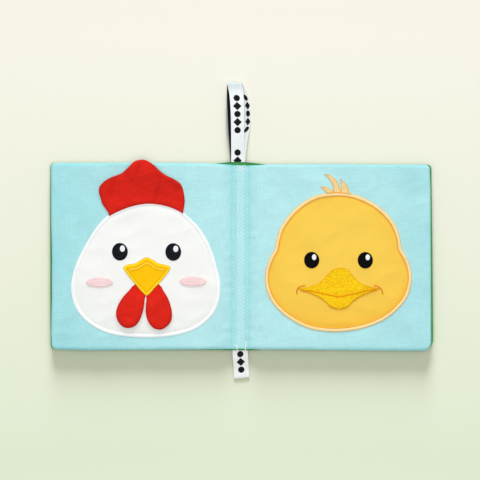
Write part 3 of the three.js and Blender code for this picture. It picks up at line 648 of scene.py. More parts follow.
AQUA = cloth("aqua_cotton", (188, 239, 242), 0.14, shade_rgb=(150, 222, 228), hole_shade=True)
GREEN = cloth("green_cotton", (76, 160, 86), 0.2, shade_rgb=(60, 140, 74))
RED = cloth("red_cotton", (226, 35, 21), 0.14, shade_rgb=(184, 18, 11))
WHITE = cloth("white_cotton", (251, 252, 249), 0.03, shade_rgb=(234, 240, 233))
YELLOW = cloth("yellow_cotton", (255, 211, 85), 0.05, shade_rgb=(253, 188, 52))
TAPE = cloth("white_tape", (245, 250, 250), 0.07, 0.4, 0.04, (204, 216, 222), printed=True)
# A lighter copy of the white tape for the tab: painted light, as the tab lies in the book's shadow.
TAB_TAPE_PAINTED_LIGHT = cloth("tab_tape", (248, 252, 249), 0.12, 0.4, 0.04, printed=True)
# Two tapes that stand for the loop's insides: painted shadow and painted shade.
LOOP_SHADOW_TAPE = cloth("dark_tape", (11, 11, 14), 0.3, 0.4, 0.04)
LOOP_SHADE_TAPE = cloth("grey_tape", (176, 182, 188), 0.2, 0.4, 0.04)
AQUA_THREAD = floss("aqua_thread", (208, 246, 246), 0.06)
WHITE_FLOSS = floss("white_floss", (251, 253, 253), 0.03)
GLINT_FLOSS = floss("glint_floss", (240, 243, 243), 0.05)
BORDER_SHADOW_FLOSS = floss("grey_floss", (236, 241, 241), 0.05)
BLACK_FLOSS = floss("black_floss", (31, 34, 40), 0.75, 0.03, (420, 900))
JET_FLOSS = floss("jet_floss", (13, 13, 14), 0.6, 0.03, (420, 900))
PINK_FLOSS = floss("pink_floss", (254, 223, 224), 0.16, stretch=(160, 1300))
CHEEK_SHADOW_FLOSS = floss("rose_floss", (240, 192, 198), 0.1)
AMBER = floss("amber_fill", (255, 196, 2), 0.05, 0.06, (900, 120))
OCHRE_FLOSS = floss("ochre_floss", (240, 182, 2), 0.1, 0.06)
BRIGHT_FLOSS = floss("bright_yellow_floss", (255, 223, 34), 0.05, 0.06)
PALE_FLOSS = floss("pale_yellow_floss", (253, 218, 60), 0.05, 0.06)
GROOVE_FLOSS = floss("groove_floss", (238, 172, 6), 0.08, 0.06)
BILL_FLOSS = floss("bill_floss", (254, 212, 20), 0.1, 0.06, (160, 900), (232, 168, 4))
PEACH_FLOSS = floss("peach_floss", (255, 225, 160), 0.06)
TUFT_FLOSS = floss("tuft_floss", (255, 218, 146), 0.2, stretch=(900, 200))
ORANGE_FLOSS = floss("orange_floss", (243, 174, 62), 0.12)
CREASE_FLOSS = floss("crease_floss", (232, 130, 8), 0.12, 0.06)
MOUTH_FLOSS = floss("mouth_floss", (220, 100, 4), 0.12, 0.06)
BED_FLOSS = floss("bed_floss", (255, 212, 26), 0.08, 0.06)


# Pages.


def opened(x, valley):
    """0 beside the spine and 1 where a leaf has its full thickness, a valley's width further out."""
    return ease((np.abs(x) - LEAF_START) / valley)


def corner_of(x, y, width):
    """A corner's radius on a cloth that reaches out to width."""
    low_right = LOW_RIGHT_CORNER[0] if width == PAGE_WIDTH else LOW_RIGHT_CORNER[1]
    return np.where((x > 0) & (y < 0), low_right, PAGE_CORNER)


def edge_distance(x, y, width):
    corner = corner_of(x, y, width)
    qx = np.abs(x) - (width - corner)
    qy = np.abs(y) - (HALF_HEIGHT - corner)
    out = np.hypot(np.maximum(qx, 0), np.maximum(qy, 0))
    return corner - out - np.minimum(np.maximum(qx, qy), 0)


def panel_height(x, y, width, face, seed, valley=VALLEY_WIDTH):
    """Height above the middle plane of a panel's outer (face 1) or inner (face -1) cloth."""
    open_share = opened(x, valley)
    seam = SPINE_SEAM + (LEAF_SEAM - SPINE_SEAM) * open_share
    half = SPINE_HALF + (LEAF_HALF - SPINE_HALF) * open_share
    rim = 2 + (RIM_WIDTH - 2) * open_share
    share = np.clip(edge_distance(x, y, width) / rim, 0, 1)
    rise = dome(share, 1)
    crumple = 0.17 * waves(x, y, 34, seed) - 0.2 * np.abs(waves(x, y, 26, seed + 1)) + 0.1
    pucker = 0.15 * waves(x, y, 8, seed + 2, (3, 1)) * bell(np.abs(x) - 9, 5)
    edge_pucker = 0.16 * waves(x, y, 9, seed + 3) * bell(share - 0.35, 0.3)
    dip = -0.3 * bell(np.abs(x) - SEAM_X, 0.9) - 0.35 * bell(np.abs(x) - 6.3, 1.3)
    crown = 0.1 * np.cos(np.clip(x / SEAM_X, -1, 1) * np.pi / 2) * (np.abs(x) < SEAM_X)
    relief = (crumple * open_share + pucker + edge_pucker * open_share) * rise + dip + crown
    return seam + face * np.maximum(0.05 + (half - 0.05) * rise + relief, 0.06)


def page_top(x, y):
    return MIDDLE_Z + panel_height(x, y, AQUA_WIDTH, 1, AQUA_SEED)


def page_shade(x, y):
    """Painted shade in the valleys beside the stitches and along the top and bottom edges. The cloth is also
    darker towards the outer edges, the left more than the right, with soft random patches.
    """
    far = np.abs(x)
    valley = 0.42 * bell(far - 6.6, 1.5) + 0.2 * bell(far - 8, 4)
    outer = 0.55 * np.clip((far - 30) / 120, 0, 1) ** 1.3 * np.where(x < 0, 1, 0.6)
    edge = 0.9 * bell(HALF_HEIGHT - y, 1.6) + 0.45 * bell(HALF_HEIGHT + y, 3)
    patches = 0.07 * waves(x, y, 40, 71)
    return np.clip(valley + outer + edge + patches, 0, 1)


def grid_lines(width, start, step):
    """Lines across and along a panel, close together beside the spine and in the band at its edges."""
    band, count = 7, 12
    near = [0, 1, 2, 2.8, 3.1, 3.4, 3.7, 4, 4.3, 4.6, 4.9, 5.2, 5.5]
    far = np.linspace(16, width - band, int((width - 16 - band) / step))[1:-1]
    edge = np.linspace(width - band, width, count)
    xs = np.array([*near, *np.linspace(5.8, 16, 24), *far, *edge])
    inner = HALF_HEIGHT - band
    side = np.linspace(inner, HALF_HEIGHT, count)
    middle = np.linspace(-inner, inner, int(2 * inner / step))[1:-1]
    return xs[xs >= start - 1e-6], np.array([*-side[::-1], *middle, *side])


def lens(x, y):
    """How far apart the aqua and the green edges lie at the spine's two ends."""
    top = 2.75 * np.clip(1 - ((x - 0.3) / 20.5) ** 2, 0, 1) ** 1.35
    bottom = np.interp(x, [-96, -40, -16, 0, 8, 17], [0, 0.25, 0.65, 1.35, 1.1, 0])
    return np.where(y > 0, top, -bottom) * np.abs(y / HALF_HEIGHT) ** 10


def wander(x, y, green):
    """The outer edges aren't quite straight, and more of the green shows at some places than at others."""
    far_x = np.abs(x / PAGE_WIDTH) ** 6
    far_y = np.abs(y / HALF_HEIGHT) ** 6
    if green:
        left = np.interp(y, [-70, -38, -26, 64], [0.7, 0.5, 0.35, 0.3])
        right = np.interp(y, [-50, 5, 52], [0.6, 0.35, 0])
    else:
        left = np.interp(y, [-68, -62, -50, -33, -15, -4, 5, 25, 45, 64],
                         [0.65, 0.3, 0.45, 0.9, 0.7, 0.9, 0.75, 0.3, 0.1, 0])
        right = np.interp(y, [-50, 52, 70], [-0.15, 0, -0.5])
    lean = np.where(x > 0, 0.8 * (0.5 - y / PAGE_HEIGHT) + right, left - 0.3 * waves(0 * y, y, 90, 61))
    top = np.interp(x, [-151, -60, -12, 1, 15, 60, 151], [0.1, 0.2, -0.3, -0.7, -1.0, -0.9, -1.3])
    bottom = np.interp(x, [-151, -121, -90, 0, 47, 95, 130], [0.5, -0.5, -0.2, 0.2, -0.1, -0.6, -0.9])
    return lean * far_x, np.where(y > 0, top, bottom) * far_y


def panel(name, side, level, face, width, material, start=0.0, end=None, step=2.0, seed=0, spread=0.6):
    """One cloth of a leaf, from x = start to its outer edge or to x = end."""
    xs, ys = grid_lines(width, start, step)
    if end is not None:
        xs = np.array(sorted({*xs[xs < end - 1e-6], *np.linspace(end - 1.4, end, 15)}))
    x, y = np.meshgrid(xs, ys, indexing="ij")
    corner = corner_of(x * side, y, width)
    cx, cy = width - corner, HALF_HEIGHT - corner
    dx, dy = np.maximum(x - cx, 0), np.maximum(np.abs(y) - cy, 0)
    length = np.hypot(dx, dy)
    squeeze = np.where(length > 1e-9, np.maximum(dx, dy) / np.maximum(length, 1e-9), 1)
    x = np.where((dx > 0) & (dy > 0), cx + dx * squeeze, x)
    y = np.where((dx > 0) & (dy > 0), np.sign(y) * (cy + dy * squeeze), y)
    signed = x * side
    valley = VALLEY_WIDTH if level > 0 else COVER_VALLEY_WIDTH
    outer = panel_height(signed, y, width, face, seed, valley)
    if level < 0:
        outer = np.minimum(outer, MIDDLE_Z - 0.03)
    open_share = opened(x, valley)
    seam = SPINE_SEAM + (LEAF_SEAM - SPINE_SEAM) * open_share + face * 0.02
    moved_x, moved_y = wander(signed, y, spread > 0)
    shown_x = signed + moved_x
    shown_y = y + moved_y + spread * lens(signed, y)
    top = np.stack([shown_x, shown_y, MIDDLE_Z + level * outer], -1)
    bottom = np.stack([shown_x, shown_y, MIDDLE_Z + level * seam], -1)
    marks = {"shade": page_shade(signed, y)}
    return slab(name, top, bottom, material, flip=side * level * face < 0, marks=marks)


def leaves():
    for side, animal, cover in ((-1, "hen", "front"), (1, "duck", "back")):
        leaf, name = f"{animal}_leaf", f"{animal}_page"
        page = panel(f"{name}_aqua", side, 1, 1, AQUA_WIDTH, AQUA, step=0.9, seed=AQUA_SEED, spread=-0.4)
        back = panel(f"{name}_green", side, 1, -1, PAGE_WIDTH, GREEN, seed=21)
        for piece, nodes in ((page, ("fabric", "crinkle_film")), (back, ("backing", "batting"))):
            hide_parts(*[f"{name}_{node_name}" for node_name in nodes])
            start, end, z = LEAF_FOLD
            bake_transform(piece)
        start, end, z = COVER_FOLD
        layers = ((-1, "lining", ("lining", "batting")), (1, "cover", ("fabric", "crinkle_film")))
        for face, kind, nodes in layers:
            same = dict(side=side, level=-1, face=face, width=PAGE_WIDTH, material=GREEN, seed=31 + face)
            fold = panel(f"{cover}_{kind}_spine", end=start, **same)
            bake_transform(fold)
            outer = panel(f"{cover}_{kind}_cloth", start=start, **same)
            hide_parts(*[f"{cover}_cover_{node_name}" for node_name in nodes])
            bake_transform(outer)
            if side > 0:
                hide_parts("cover_spine_lining" if face < 0 else "cover_spine_fabric")
    # Both pages reach the middle of the spine. The duck's stands for the spine's nodes.
    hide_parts("spread_spine_fabric")
    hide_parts("spread_spine_backing")


def at(x, y, z):
    """A point of the spread, in metres in the row frame."""
    return Vector((x, y + BOOK_Y, z)) * MM


# Spine stitches and tapes.


def on_spine(extra):
    return lambda x, y: MIDDLE_Z + panel_height(x, y, PAGE_WIDTH, 1, AQUA_SEED) + extra


def seams():
    half = STITCH_LENGTH / 2
    count = int(PAGE_HEIGHT / STITCH_LENGTH)
    for level, panel_name in ((1, "spread"), (-1, "cover")):
        for label, side in (("left", -1), ("right", 1)):
            paths = []
            for i in range(-count + 1, count - 1):
                swing = SEAM_SWING if i % 2 else -SEAM_SWING
                ends = [(side * (SEAM_X + swing), i * half), (side * (SEAM_X - swing), (i + 1) * half)]
                paths += stitches(ends, 1.6, 0.2, on_spine(0.14), 0.3)
            if level < 0:
                paths = [np.column_stack([p[:, :2], 2 * MIDDLE_Z - p[:, 2]]) for p in paths]
            piece = threads(f"{panel_name}_stitches_{label}", paths, 0.25, AQUA_THREAD)
            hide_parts(f"{panel_name}_seam_{label}")
            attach(piece, "spine")


def bartacks():
    paths = []
    for x0, x1, y0, y1, count in ((-3.2, 4.2, 67.4, 72.2, 4), (-4.8, -3.0, -71.4, -69.8, 2)):
        xs = np.linspace(x0, x1, count * 2 + 1)
        ys = np.where(np.arange(len(xs)) % 2 == 0, y0, y1)
        paths.append(raised(resample(np.column_stack([xs, ys]), 0.3, closed=False), on_spine(0.12)))
    piece = threads("spine_bartacks", paths, 0.14, WHITE_FLOSS)
    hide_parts("loop_bartack")
    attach(piece, "spine")
    tails = []
    for points in ([(-2.7, -71.2, 5.5), (-2.9, -72.0, 5.6), (-2.6, -73.4, 5.2), (-2.9, -74.6, 4.4)],
                   [(3.9, -66.6, 5.5), (4.2, -69.5, 5.6), (3.7, -72.4, 5.5), (4.1, -74.6, 4.4)]):
        for shift in (-0.22, 0.22):
            path = np.array(points) + (shift, 0, 0)
            path[1:, 0] += shift * np.array([0.4, -0.6, 0.7])
            tails.append(open_line(path, 0.5))
    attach(threads("spine_thread_tails", tails, 0.23, WHITE_FLOSS), "spine")


def ribbon(name, centre, half_width, thickness, material, side=(1.0, 0, 0),
           along=0.0, aside=0.0, squash=1.0, shade=0.0):
    """A flat band along a path. along, aside and squash place the marks printed on it, and shade is painted
    shade along it.
    """
    p = np.asarray(centre, float)
    side = np.tile(side / np.linalg.norm(side), (len(p), 1))
    up = unit(np.cross(side, unit(np.gradient(p, axis=0))))
    columns = [np.broadcast_to(value, len(p))[:, None] for value in (half_width, aside, squash, shade)]
    half, aside, squash, shade = columns
    length = along + np.concatenate([[0], np.cumsum(np.linalg.norm(np.diff(p, axis=0), axis=1))])
    shares = np.linspace(-1, 1, 9)
    layers = []
    for sign in (1, -1):
        rise = [sign * thickness / 2 * (1 - 0.35 * (abs(t) > 0.95)) for t in shares]
        layers.append(np.stack([p + side * half * t + up * r for t, r in zip(shares, rise)], 1))
    every = np.ones(len(shares))
    across = (shares * half - aside) * squash
    marks = {"along": length[:, None] * every, "across": across, "shade": shade * every}
    return slab(name, *layers, material, marks=marks)


def strand(places, z):
    """A path up the loop from its sewn end. places are shares of its length and the x there."""
    share, x = np.array(places).T
    at_shares = np.array([0, 0.08, 0.16, 0.25, 0.34, 0.43, 0.55, 0.7, 0.86, 0.95, 0.99])
    return np.column_stack([
        np.interp(at_shares, share, x), LOOP_START + at_shares * (LOOP_END - LOOP_START),
        MIDDLE_Z + np.interp(at_shares, [0, 0.08, 0.16, 0.3, 0.5, 0.7, 0.86, 0.95, 0.99], z),
    ])


def folded(piece):
    """Bakes a tape's placement into its mesh."""
    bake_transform(piece)


def tapes():
    rise = np.array([0.3, 0.35, 0.6, 1.7, 2.8, 2.9, 2.6, 1.8, 0.8])
    front = strand([
        (0, -2.3), (0.36, -2.3), (0.59, -2.35), (0.76, -2.65), (0.88, -3.4), (0.94, -4.05), (1, -4.9),
    ], rise)
    back = strand([
        (0, -2.2), (0.08, -2.15), (0.2, -1.4), (0.315, -0.4), (0.434, 1.1), (0.61, 1.85), (0.75, 1.2),
        (0.85, 0.1), (0.95, -3.4), (1, -4.8),
    ], -rise)
    fold = (-4.95, LOOP_END - 0.05, MIDDLE_Z)
    path = open_line(np.vstack([front, fold, back[::-1]]), PATH_PITCH)
    turn = np.argmax(path[:, 1])
    row = np.arange(len(path))
    # Only the strand in front narrows, and the marks on the one behind lie aside and are seen squashed.
    half = np.where(row < turn, np.interp(path[:, 1], [95, 110, 130, 136], [5.1, 5.25, 5.6, 5.95]), 5.95)
    back_row = row > turn + 4
    aside = np.where(back_row, np.interp(path[:, 1], [94, 102, 122, 130], [0.1, 4.3, 4.3, 2.8]), 0)
    # Painted shade round the fold at the top of the loop.
    shade = bell((row - turn + 3) * PATH_PITCH, 4.5)
    along, squash = np.where(back_row, -8.9, 0), np.where(back_row, 1.6, 1.0)
    loop = ribbon("loop_tape", path, half, 0.42, TAPE, along=along, aside=aside, squash=squash, shade=shade)
    folded(loop)
    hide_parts("hanging_loop", "loop_sewn_end")
    # The dark layer is painted shadow inside the loop, and the grey layer is painted shade on the strand
    # behind.
    dark = [(0, -3.0), (0.1, -3.0), (0.233, -3.7), (0.434, -4.6), (0.61, -5.15), (0.85, -5.8), (1, -5.6)]
    grey = [
        (0, -3.0), (0.1, -3.0), (0.233, -3.8), (0.34, -5.1), (0.434, -6.0), (0.61, -6.35), (0.85, -5.85),
        (1, -5.6),
    ]
    for name, level, material, places in (("dark", 0.45, LOOP_SHADOW_TAPE, dark), ("grey", -0.2, LOOP_SHADE_TAPE, grey)):
        path = open_line(strand(places, rise * level), PATH_PITCH)
        layer = ribbon(f"loop_{name}_layer", path, 5.0, 0.4, material)
        folded(layer)
    tab_points = np.array([
        (-0.35, -70, 3.95), (-0.3, -74.5, 3.95), (-0.1, -79, 3.5), (0.25, -84, 2.4), (0.6, -89.5, 1.3),
        (0.95, -96.0, 1.0),
    ])
    fold = tab_points[-1] - (0, 0.2, 0.27)
    path = open_line(np.vstack([tab_points, fold, tab_points[::-1] - (0, 0, 0.55)]), TAB_PITCH)
    tab = ribbon("tab_tape", path, TAPE_HALF, 0.4, TAB_TAPE_PAINTED_LIGHT, side=(1.0, 0.09, 0), along=PRINT_START + 8.6)
    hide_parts("bottom_tab", "tab_sewn_end")
    folded(tab)


# Faces.


def on_page(extra):
    return lambda x, y: page_top(x, y) + extra


def applique(name, edge, material, rim_shade, spacing=1.5):
    """Flat cloth sewn down round its edge, slightly full in the middle."""
    top = lambda x, y, d: page_top(x, y) + 0.1 + (APPLIQUE - 0.1) * (1 - bell(d, 2.3))
    bottom = lambda x, y, d: page_top(x, y) - 0.2
    # Painted shade towards the cloth's edge and towards its lower end.
    low = edge[:, 1].min()
    shade = lambda x, y, d: np.clip(rim_shade * np.exp(-d / 5) + 0.4 * np.exp(-(y - low) / 25), 0, 1)
    return patch(name, edge, spacing, top, bottom, material, shade)


def fill(name, edge, height, material, level=APPLIQUE, spacing=0.4, ridge=0.05, pitch=0.8, angle=0.0,
         soft=1.2, wavy=0.0):
    """Dense embroidery, full in the middle, with its threads as ridges."""
    c, s = math.cos(angle), math.sin(angle)

    def top(x, y, d):
        rise = dome(d, soft)
        run = (-x * s + y * c) / pitch
        rows = ridge * np.sin(2 * np.pi * run + wavy * waves(x, y, 4, 5)) * rise
        return page_top(x, y) + level + height * (0.25 + 0.75 * rise) + rows + 0.06

    return patch(name, edge, spacing, top, lambda x, y, d: page_top(x, y) + level - 0.1, material)


def oval(x, y, width, height, pitch=0.4):
    t = np.linspace(0, 2 * np.pi, 90, endpoint=False)
    return resample(np.column_stack([x + width / 2 * np.cos(t), y + height / 2 * np.sin(t)]), pitch)


def place(head, share, size):
    x, y, width, height = head
    return (x + share[0] * width, y + share[1] * height, *size)


def sewn(piece, *nodes):
    """A piece that stays on the page of the animal it is named after, and the nodes it stands for."""
    if nodes:
        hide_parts(*nodes)
    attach(piece, piece.name.split("_")[0] + "_leaf")
    return piece


def embroidered(node_name, edge, height, material, **more):
    """Dense embroidery that stands for one node."""
    sewn(fill(f"{node_name}_stitched", edge, height, material, **more), node_name)


def outline_thread(name, radius, level, material, *edges):
    """Threads laid round closed outlines."""
    rounds = [resample(edge, 0.8) for edge in edges]
    paths = [raised(np.vstack([p, p[:1]]), on_page(level)) for p in rounds]
    return sewn(threads(name, paths, radius, material))


def line_thread(name, line, radius, level, material, *nodes):
    p = raised(resample(line, 0.5, closed=False), on_page(level))
    return sewn(threads(name, [p], radius, material), *nodes)


def eyes(animal, head, left, right, size, glint, material):
    for label, share in (("left", left), ("right", right)):
        centre = place(head, share, size)
        embroidered(f"{animal}_eye_{label}", oval(*centre), 0.45, material, angle=0.5)
        spot = (centre[0] + 0.16 * size[0], centre[1] + 0.175 * size[1], *glint)
        piece = fill(f"{animal}_glint_{label}_stitched", oval(*spot, 0.25), 0.18, GLINT_FLOSS,
                     level=APPLIQUE + 0.5, spacing=0.25, soft=0.6)
        sewn(piece, f"{animal}_eye_glint_{label}")


def pillow(name, edge, centre_z, half, rim, creased=None):
    """A padded red flap, two faces that meet in a seam round the edge. creased says where it is creased."""
    def face(sign):
        def height(x, y, d):
            rise = dome(d, rim)
            wrinkle = 0.12 * waves(x, y, 11, len(name)) + 0.08 * waves(x, y, 5, len(name) + 1)
            seam = 0.14 * bell(d - 1.1, 0.45)
            z = centre_z(x, y) + sign * (0.12 + (half(x, y) - 0.12) * rise) + sign * wrinkle * rise
            return z - sign * seam
        return height

    # Painted shade along the seam round the edge and in the creases.
    def shade(x, y, d):
        rim_shade = 0.6 * bell(d, 0.9) + 0.25 * np.exp(-d / 2)
        return np.clip(rim_shade + (0.3 * creased(x, y) if creased else 0), 0, 1)

    piece = patch(name, edge, 0.9, face(1), face(-1), RED, shade)
    return piece


def hen():
    edge = shape(HEN_SHARES, HEN)
    head = sewn(applique("hen_head_cloth", shape(HEN_SHARES, HEN, inset=1.6), WHITE, 0.1), "hen_head")
    sewn(satin("hen_head_satin", edge, HEN_BORDER, 0.55, page_top, WHITE_FLOSS), "hen_head_border")
    # Thin grey threads at both edges of the white border: painted shadow.
    outline_thread("hen_border_lines", 0.12, 0.2, BORDER_SHADOW_FLOSS, offset(edge, 0.05), offset(edge, HEN_BORDER))
    eyes("hen", HEN, (-0.172, 0.134), (0.186, 0.132), HEN_EYE, HEN_GLINT, BLACK_FLOSS)
    for label, share in (("left", (-0.309, -0.09)), ("right", (0.319, -0.083))):
        name, (x, y, width, height) = f"hen_cheek_{label}", place(HEN, share, CHEEK)
        embroidered(name, oval(x, y, width, height), 0.35, PINK_FLOSS, ridge=0.1, pitch=1.3, wavy=1.0)
        # A darker pink thread along each cheek's lower edge: painted shadow.
        rim = oval(x, y, width - 0.3, height - 0.3)
        low = rim[rim[:, 1] < y + 0.3]
        path = raised(low[np.argsort(low[:, 0])], on_page(APPLIQUE + 0.25))
        sewn(threads(f"{name}_edge", [path], 0.3, CHEEK_SHADOW_FLOSS))
    beak = place(HEN, (0.009, -0.049), BEAK)
    edge_beak = shape(BEAK_SHARES, beak, 0.4)
    inner = shape(BEAK_SHARES, beak, 0.6, inset=0.8)
    embroidered("hen_beak", inner, 0.5, AMBER, ridge=0.04, angle=0.9)
    border = satin("hen_beak_satin", edge_beak, BEAK_BORDER, 0.7, on_page(APPLIQUE), BRIGHT_FLOSS, 0.55, 0.07)
    sewn(border, "hen_beak_border")
    outline_thread("hen_beak_rim", 0.2, APPLIQUE + 0.3, OCHRE_FLOSS, offset(edge_beak, 0.05))
    outline_thread("hen_beak_groove", 0.34, APPLIQUE + 0.42, GROOVE_FLOSS, beak_line(edge_beak, 2.3, 3.0))
    line = beak_line(edge_beak, 3.6, 4.1)
    line = line[inward(line)[:, 1] < -0.5]
    line_thread("hen_beak_line", line[np.argsort(line[:, 0])], 0.75, APPLIQUE + 0.3, PALE_FLOSS)
    comb(edge)
    wattles()


def beak_line(edge, sides, top):
    """A line inside the beak's outline, at one distance from its upper side and another from the others."""
    normal = inward(edge)
    depth = sides + (top - sides) * np.clip(-2 * normal[:, 1], 0, 1)
    moved = edge + normal * depth[:, None]
    return moved[distance(moved, edge) > depth * 0.95]


def comb(head_edge):
    crease = HEN[1] + HEN[3] / 2 + 1.2
    centre_x = HEN[0] - 0.025 * HEN[2]
    sewn_edge = (centre_x, crease, *COMB)
    loose = smooth(placed(COMB_SHARES, sewn_edge), closed=False)
    left = np.array([(-31.9, 43.2), (-30.6, 40.6), (-26.4, 34.6)]) + (centre_x, 0)
    right = np.array([(32.4, 33.6), (33.3, 38.5), (33.9, 43.2)]) + (centre_x, 0)
    inner = offset(head_edge, 1.2)
    arc = inner[(inner[:, 1] > 25) & (inner[:, 0] > left[-1, 0]) & (inner[:, 0] < right[0, 0])]
    arc = arc[np.argsort(arc[:, 0])]
    edge = outline(np.vstack([loose, left, arc, right]), 0.8)

    def lift(y):
        return ease((y - crease) / 26)

    def creased(x, y):
        points = np.column_stack([x, y])
        folds = [distance(points, placed(ends, sewn_edge), closed=False) for ends in COMB_FOLDS]
        return sum(bell(gap, 1.8) for gap in folds)

    def fold_depth(x, y):
        """Soft folds that fan out from the sewn edge."""
        fan = (x - centre_x) / (y - crease + 45) * 45
        return 0.35 * waves(fan, y * 0.35, 13, 83) * np.clip((y - crease + 4) / 14, 0, 1)

    centre_z = lambda x, y: page_top(x, np.minimum(y, 66.0)) + 0.7 + 3.0 * lift(y)
    half = lambda x, y: 0.5 + 0.8 * lift(y) + fold_depth(x, y) * 0.5 - 0.15 * lift(y) * creased(x, y)
    piece = pillow("hen_comb", edge, centre_z, half, 3.0, creased)
    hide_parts("comb_front", "comb_back", "comb_wadding", "comb_root")
    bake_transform(piece)


def wattles():
    # Of each: its side, outline, place on the head, size, the middle of its hinge and the way up from there.
    rows = (
        ("left", LEFT_WATTLE_SHARES, (-0.102, -0.272), LEFT_WATTLE, (-79.55, -26.45), (0.7276, 0.686)),
        ("right", RIGHT_WATTLE_SHARES, (0.089, -0.277), RIGHT_WATTLE, (-69.1, -26.6), (-0.6866, 0.727)),
    )
    for label, shares, share, size, hinge, up in rows:
        edge = shape(shares, place(HEN, share, size), 0.6)
        towards = (edge - hinge) @ np.array(up)
        # The edge at the hinge reaches on under the beak.
        edge = edge + np.outer(np.clip(1 - np.abs(towards) / 1.6, 0, 1) * 1.3, up)

        def depth(x, y):
            return ease(-((x - hinge[0]) * up[0] + (y - hinge[1]) * up[1]) / 9)

        centre_z = lambda x, y: page_top(x, y) + 0.75 + 0.95 * depth(x, y)
        half = lambda x, y: 0.25 + 0.7 * depth(x, y)
        piece = pillow(f"hen_wattle_{label}", edge, centre_z, half, 3.2)
        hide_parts(f"{label}_wattle_front", f"{label}_wattle_back")
        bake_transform(piece)


def duck():
    head = sewn(applique("duck_head_cloth", shape(DUCK_SHARES, DUCK, inset=1.5), YELLOW, 0.5), "duck_head")
    edge = shape(DUCK_SHARES, DUCK)
    sewn(satin("duck_head_satin", edge, DUCK_BORDER, 0.8, page_top, PEACH_FLOSS), "duck_head_border")
    outline_thread("duck_border_lines", 0.17, 0.26, ORANGE_FLOSS, offset(edge, 0.1))
    outline_thread("duck_border_inner_line", 0.3, 0.34, ORANGE_FLOSS, offset(edge, DUCK_BORDER + 0.2))
    eyes("duck", DUCK, (-0.182, 0.015), (0.1835, 0.014), DUCK_EYE, DUCK_GLINT, JET_FLOSS)
    bill()
    tuft = place(DUCK, (-0.018, 0.563), TUFT)
    edge = outline(placed(TUFT_SHARES, tuft), 0.5)
    embroidered("duck_tuft", edge, 0.35, TUFT_FLOSS, level=0, angle=1.2, soft=0.8)
    outline_thread("duck_tuft_outline", 0.2, 0.3, ORANGE_FLOSS, edge)
    base = placed([(-0.3, -0.44), (0.01, -0.42), (0.3, -0.45), (0.53, -0.52)], tuft)
    line_thread("duck_tuft_base", smooth(base, closed=False), 0.32, 0.55, ORANGE_FLOSS)


def bill():
    centre = place(DUCK, (0.003, -0.189), BILL)
    curve = lambda shares: smooth(placed(shares, centre), closed=False)
    top, mouth, bottom = curve(BILL_TOP), curve(BILL_MOUTH), curve(BILL_BOTTOM)
    half_gap = np.array((0, 0.25))
    upper = np.vstack([top, mouth[::-1] + half_gap])
    lower_mouth = mouth[(mouth[:, 0] > bottom[0, 0]) & (mouth[:, 0] < bottom[-1, 0])]
    lower = np.vstack([lower_mouth - half_gap, bottom[::-1]])
    for label, edge, height in (("upper", upper, 0.25), ("lower", lower, 0.55)):
        embroidered(f"duck_bill_{label}", outline(edge, 0.6), height, BILL_FLOSS,
                    spacing=0.5, ridge=0.035, pitch=1.8, soft=0.9, wavy=2.5)
    line_thread("duck_mouth_bed", mouth, 0.45, APPLIQUE + 0.05, BED_FLOSS)
    paths = stitches(mouth, 0.95, 0.8, on_page(APPLIQUE + 0.4), 0.1)
    sewn(threads("duck_mouth_stitches", paths, 0.4, MOUTH_FLOSS), "duck_mouth_seam")
    for label, shares in (("left", LEFT_CREASE), ("right", RIGHT_CREASE)):
        name, node_name = f"duck_crease_{label}_stitched", f"duck_smile_crease_{label}"
        line_thread(name, curve(shares), 0.4, APPLIQUE + 0.2, CREASE_FLOSS, node_name)
    rim = curve([(-0.505, 0.0), *BILL_BOTTOM, (0.515, 0.01)])
    line_thread("duck_bill_edge", rim, 0.26, APPLIQUE + 0.22, CREASE_FLOSS)
    piece = line_thread("duck_bill_top_edge", top, 0.2, APPLIQUE + 0.25, OCHRE_FLOSS)


# The room.


def softbox(name, location, size, power):
    lamp = bpy.data.lights.new(name, "AREA")
    lamp.shape = "RECTANGLE"
    lamp.size, lamp.size_y = size
    lamp.energy = power
    obj = thing(name, lamp)
    obj.location = location
    obj.rotation_euler = (-obj.location).to_track_quat("-Z", "Y").to_euler()
    return obj


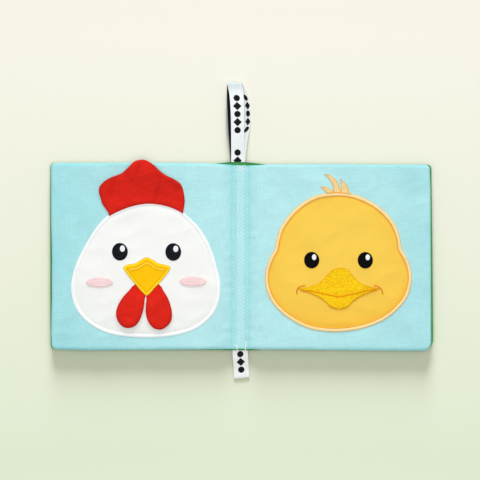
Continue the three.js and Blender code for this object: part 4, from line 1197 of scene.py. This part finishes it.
def linked(lamp, floor, state):
    """Lets a lamp light the floor alone (INCLUDE) or all but the floor (EXCLUDE)."""
    receivers = bpy.data.collections.new(f"{lamp.name}_receivers")
    receivers.objects.link(floor)
    receivers.collection_objects[0].light_linking.link_state = state
    lamp.light_linking.receiver_collection = receivers


def room():
    scene = bpy.context.scene
    scene.view_settings.view_transform = "Standard"
    camera = thing("camera", bpy.data.cameras.new("camera"))
    camera.data.lens = LENS
    camera.data.sensor_width = SENSOR
    away = PICTURE * PIXEL * MM * LENS / SENSOR
    x, y, z = PICTURE_CENTRE
    camera.location = (x * MM, (y + BOOK_Y) * MM, z * MM + away)
    camera.data.clip_end = 50
    scene.camera = camera
    world = bpy.data.worlds.new("studio")
    world.use_nodes = True
    background = world.node_tree.nodes["Background"]
    background.inputs["Color"].default_value = (1, 1, 1, 1)
    background.inputs["Strength"].default_value = 0.4
    scene.world = world
    floor = thing("floor", bpy.data.meshes.new("floor"))
    floor.data.from_pydata([(-3, -3, 0), (3, -3, 0), (3, 3, 0), (-3, 3, 0)], [], [(0, 1, 2, 3)])
    material, tree, shader = nodes_of("floor")
    split = node(tree, "ShaderNodeSeparateXYZ", Vector=node(tree, "ShaderNodeTexCoord").outputs["Object"])
    share = ramp(tree, split.outputs[1], -0.178, 0.15)
    surface(tree, shader, mix(tree, share, linear(FLOOR_NEAR), linear(FLOOR_FAR)), 1, 0)
    floor.data.materials.append(material)
    softbox("overhead_softbox", (0.0, -0.1, 1.3), (0.9, 0.9), 8.1)
    linked(softbox("low_softbox", (0.0, 2.6, 0.9), (2.6, 0.7), 59.0), floor, "EXCLUDE")
    # The floor has a low light of its own, one that is as strong far away as it is near.
    lamp = thing("floor_light", bpy.data.lights.new("floor_light", "SUN"))
    lamp.data.energy = FLOOR_LIGHT
    lamp.data.angle = math.radians(FLOOR_LIGHT_SPREAD)
    lamp.data.color = FLOOR_LIGHT_COLOUR
    lamp.rotation_euler = (math.radians(FLOOR_LIGHT_TILT), 0, 0)
    linked(lamp, floor, "INCLUDE")


room()
leaves()
seams()
bartacks()
tapes()
hen()
duck()
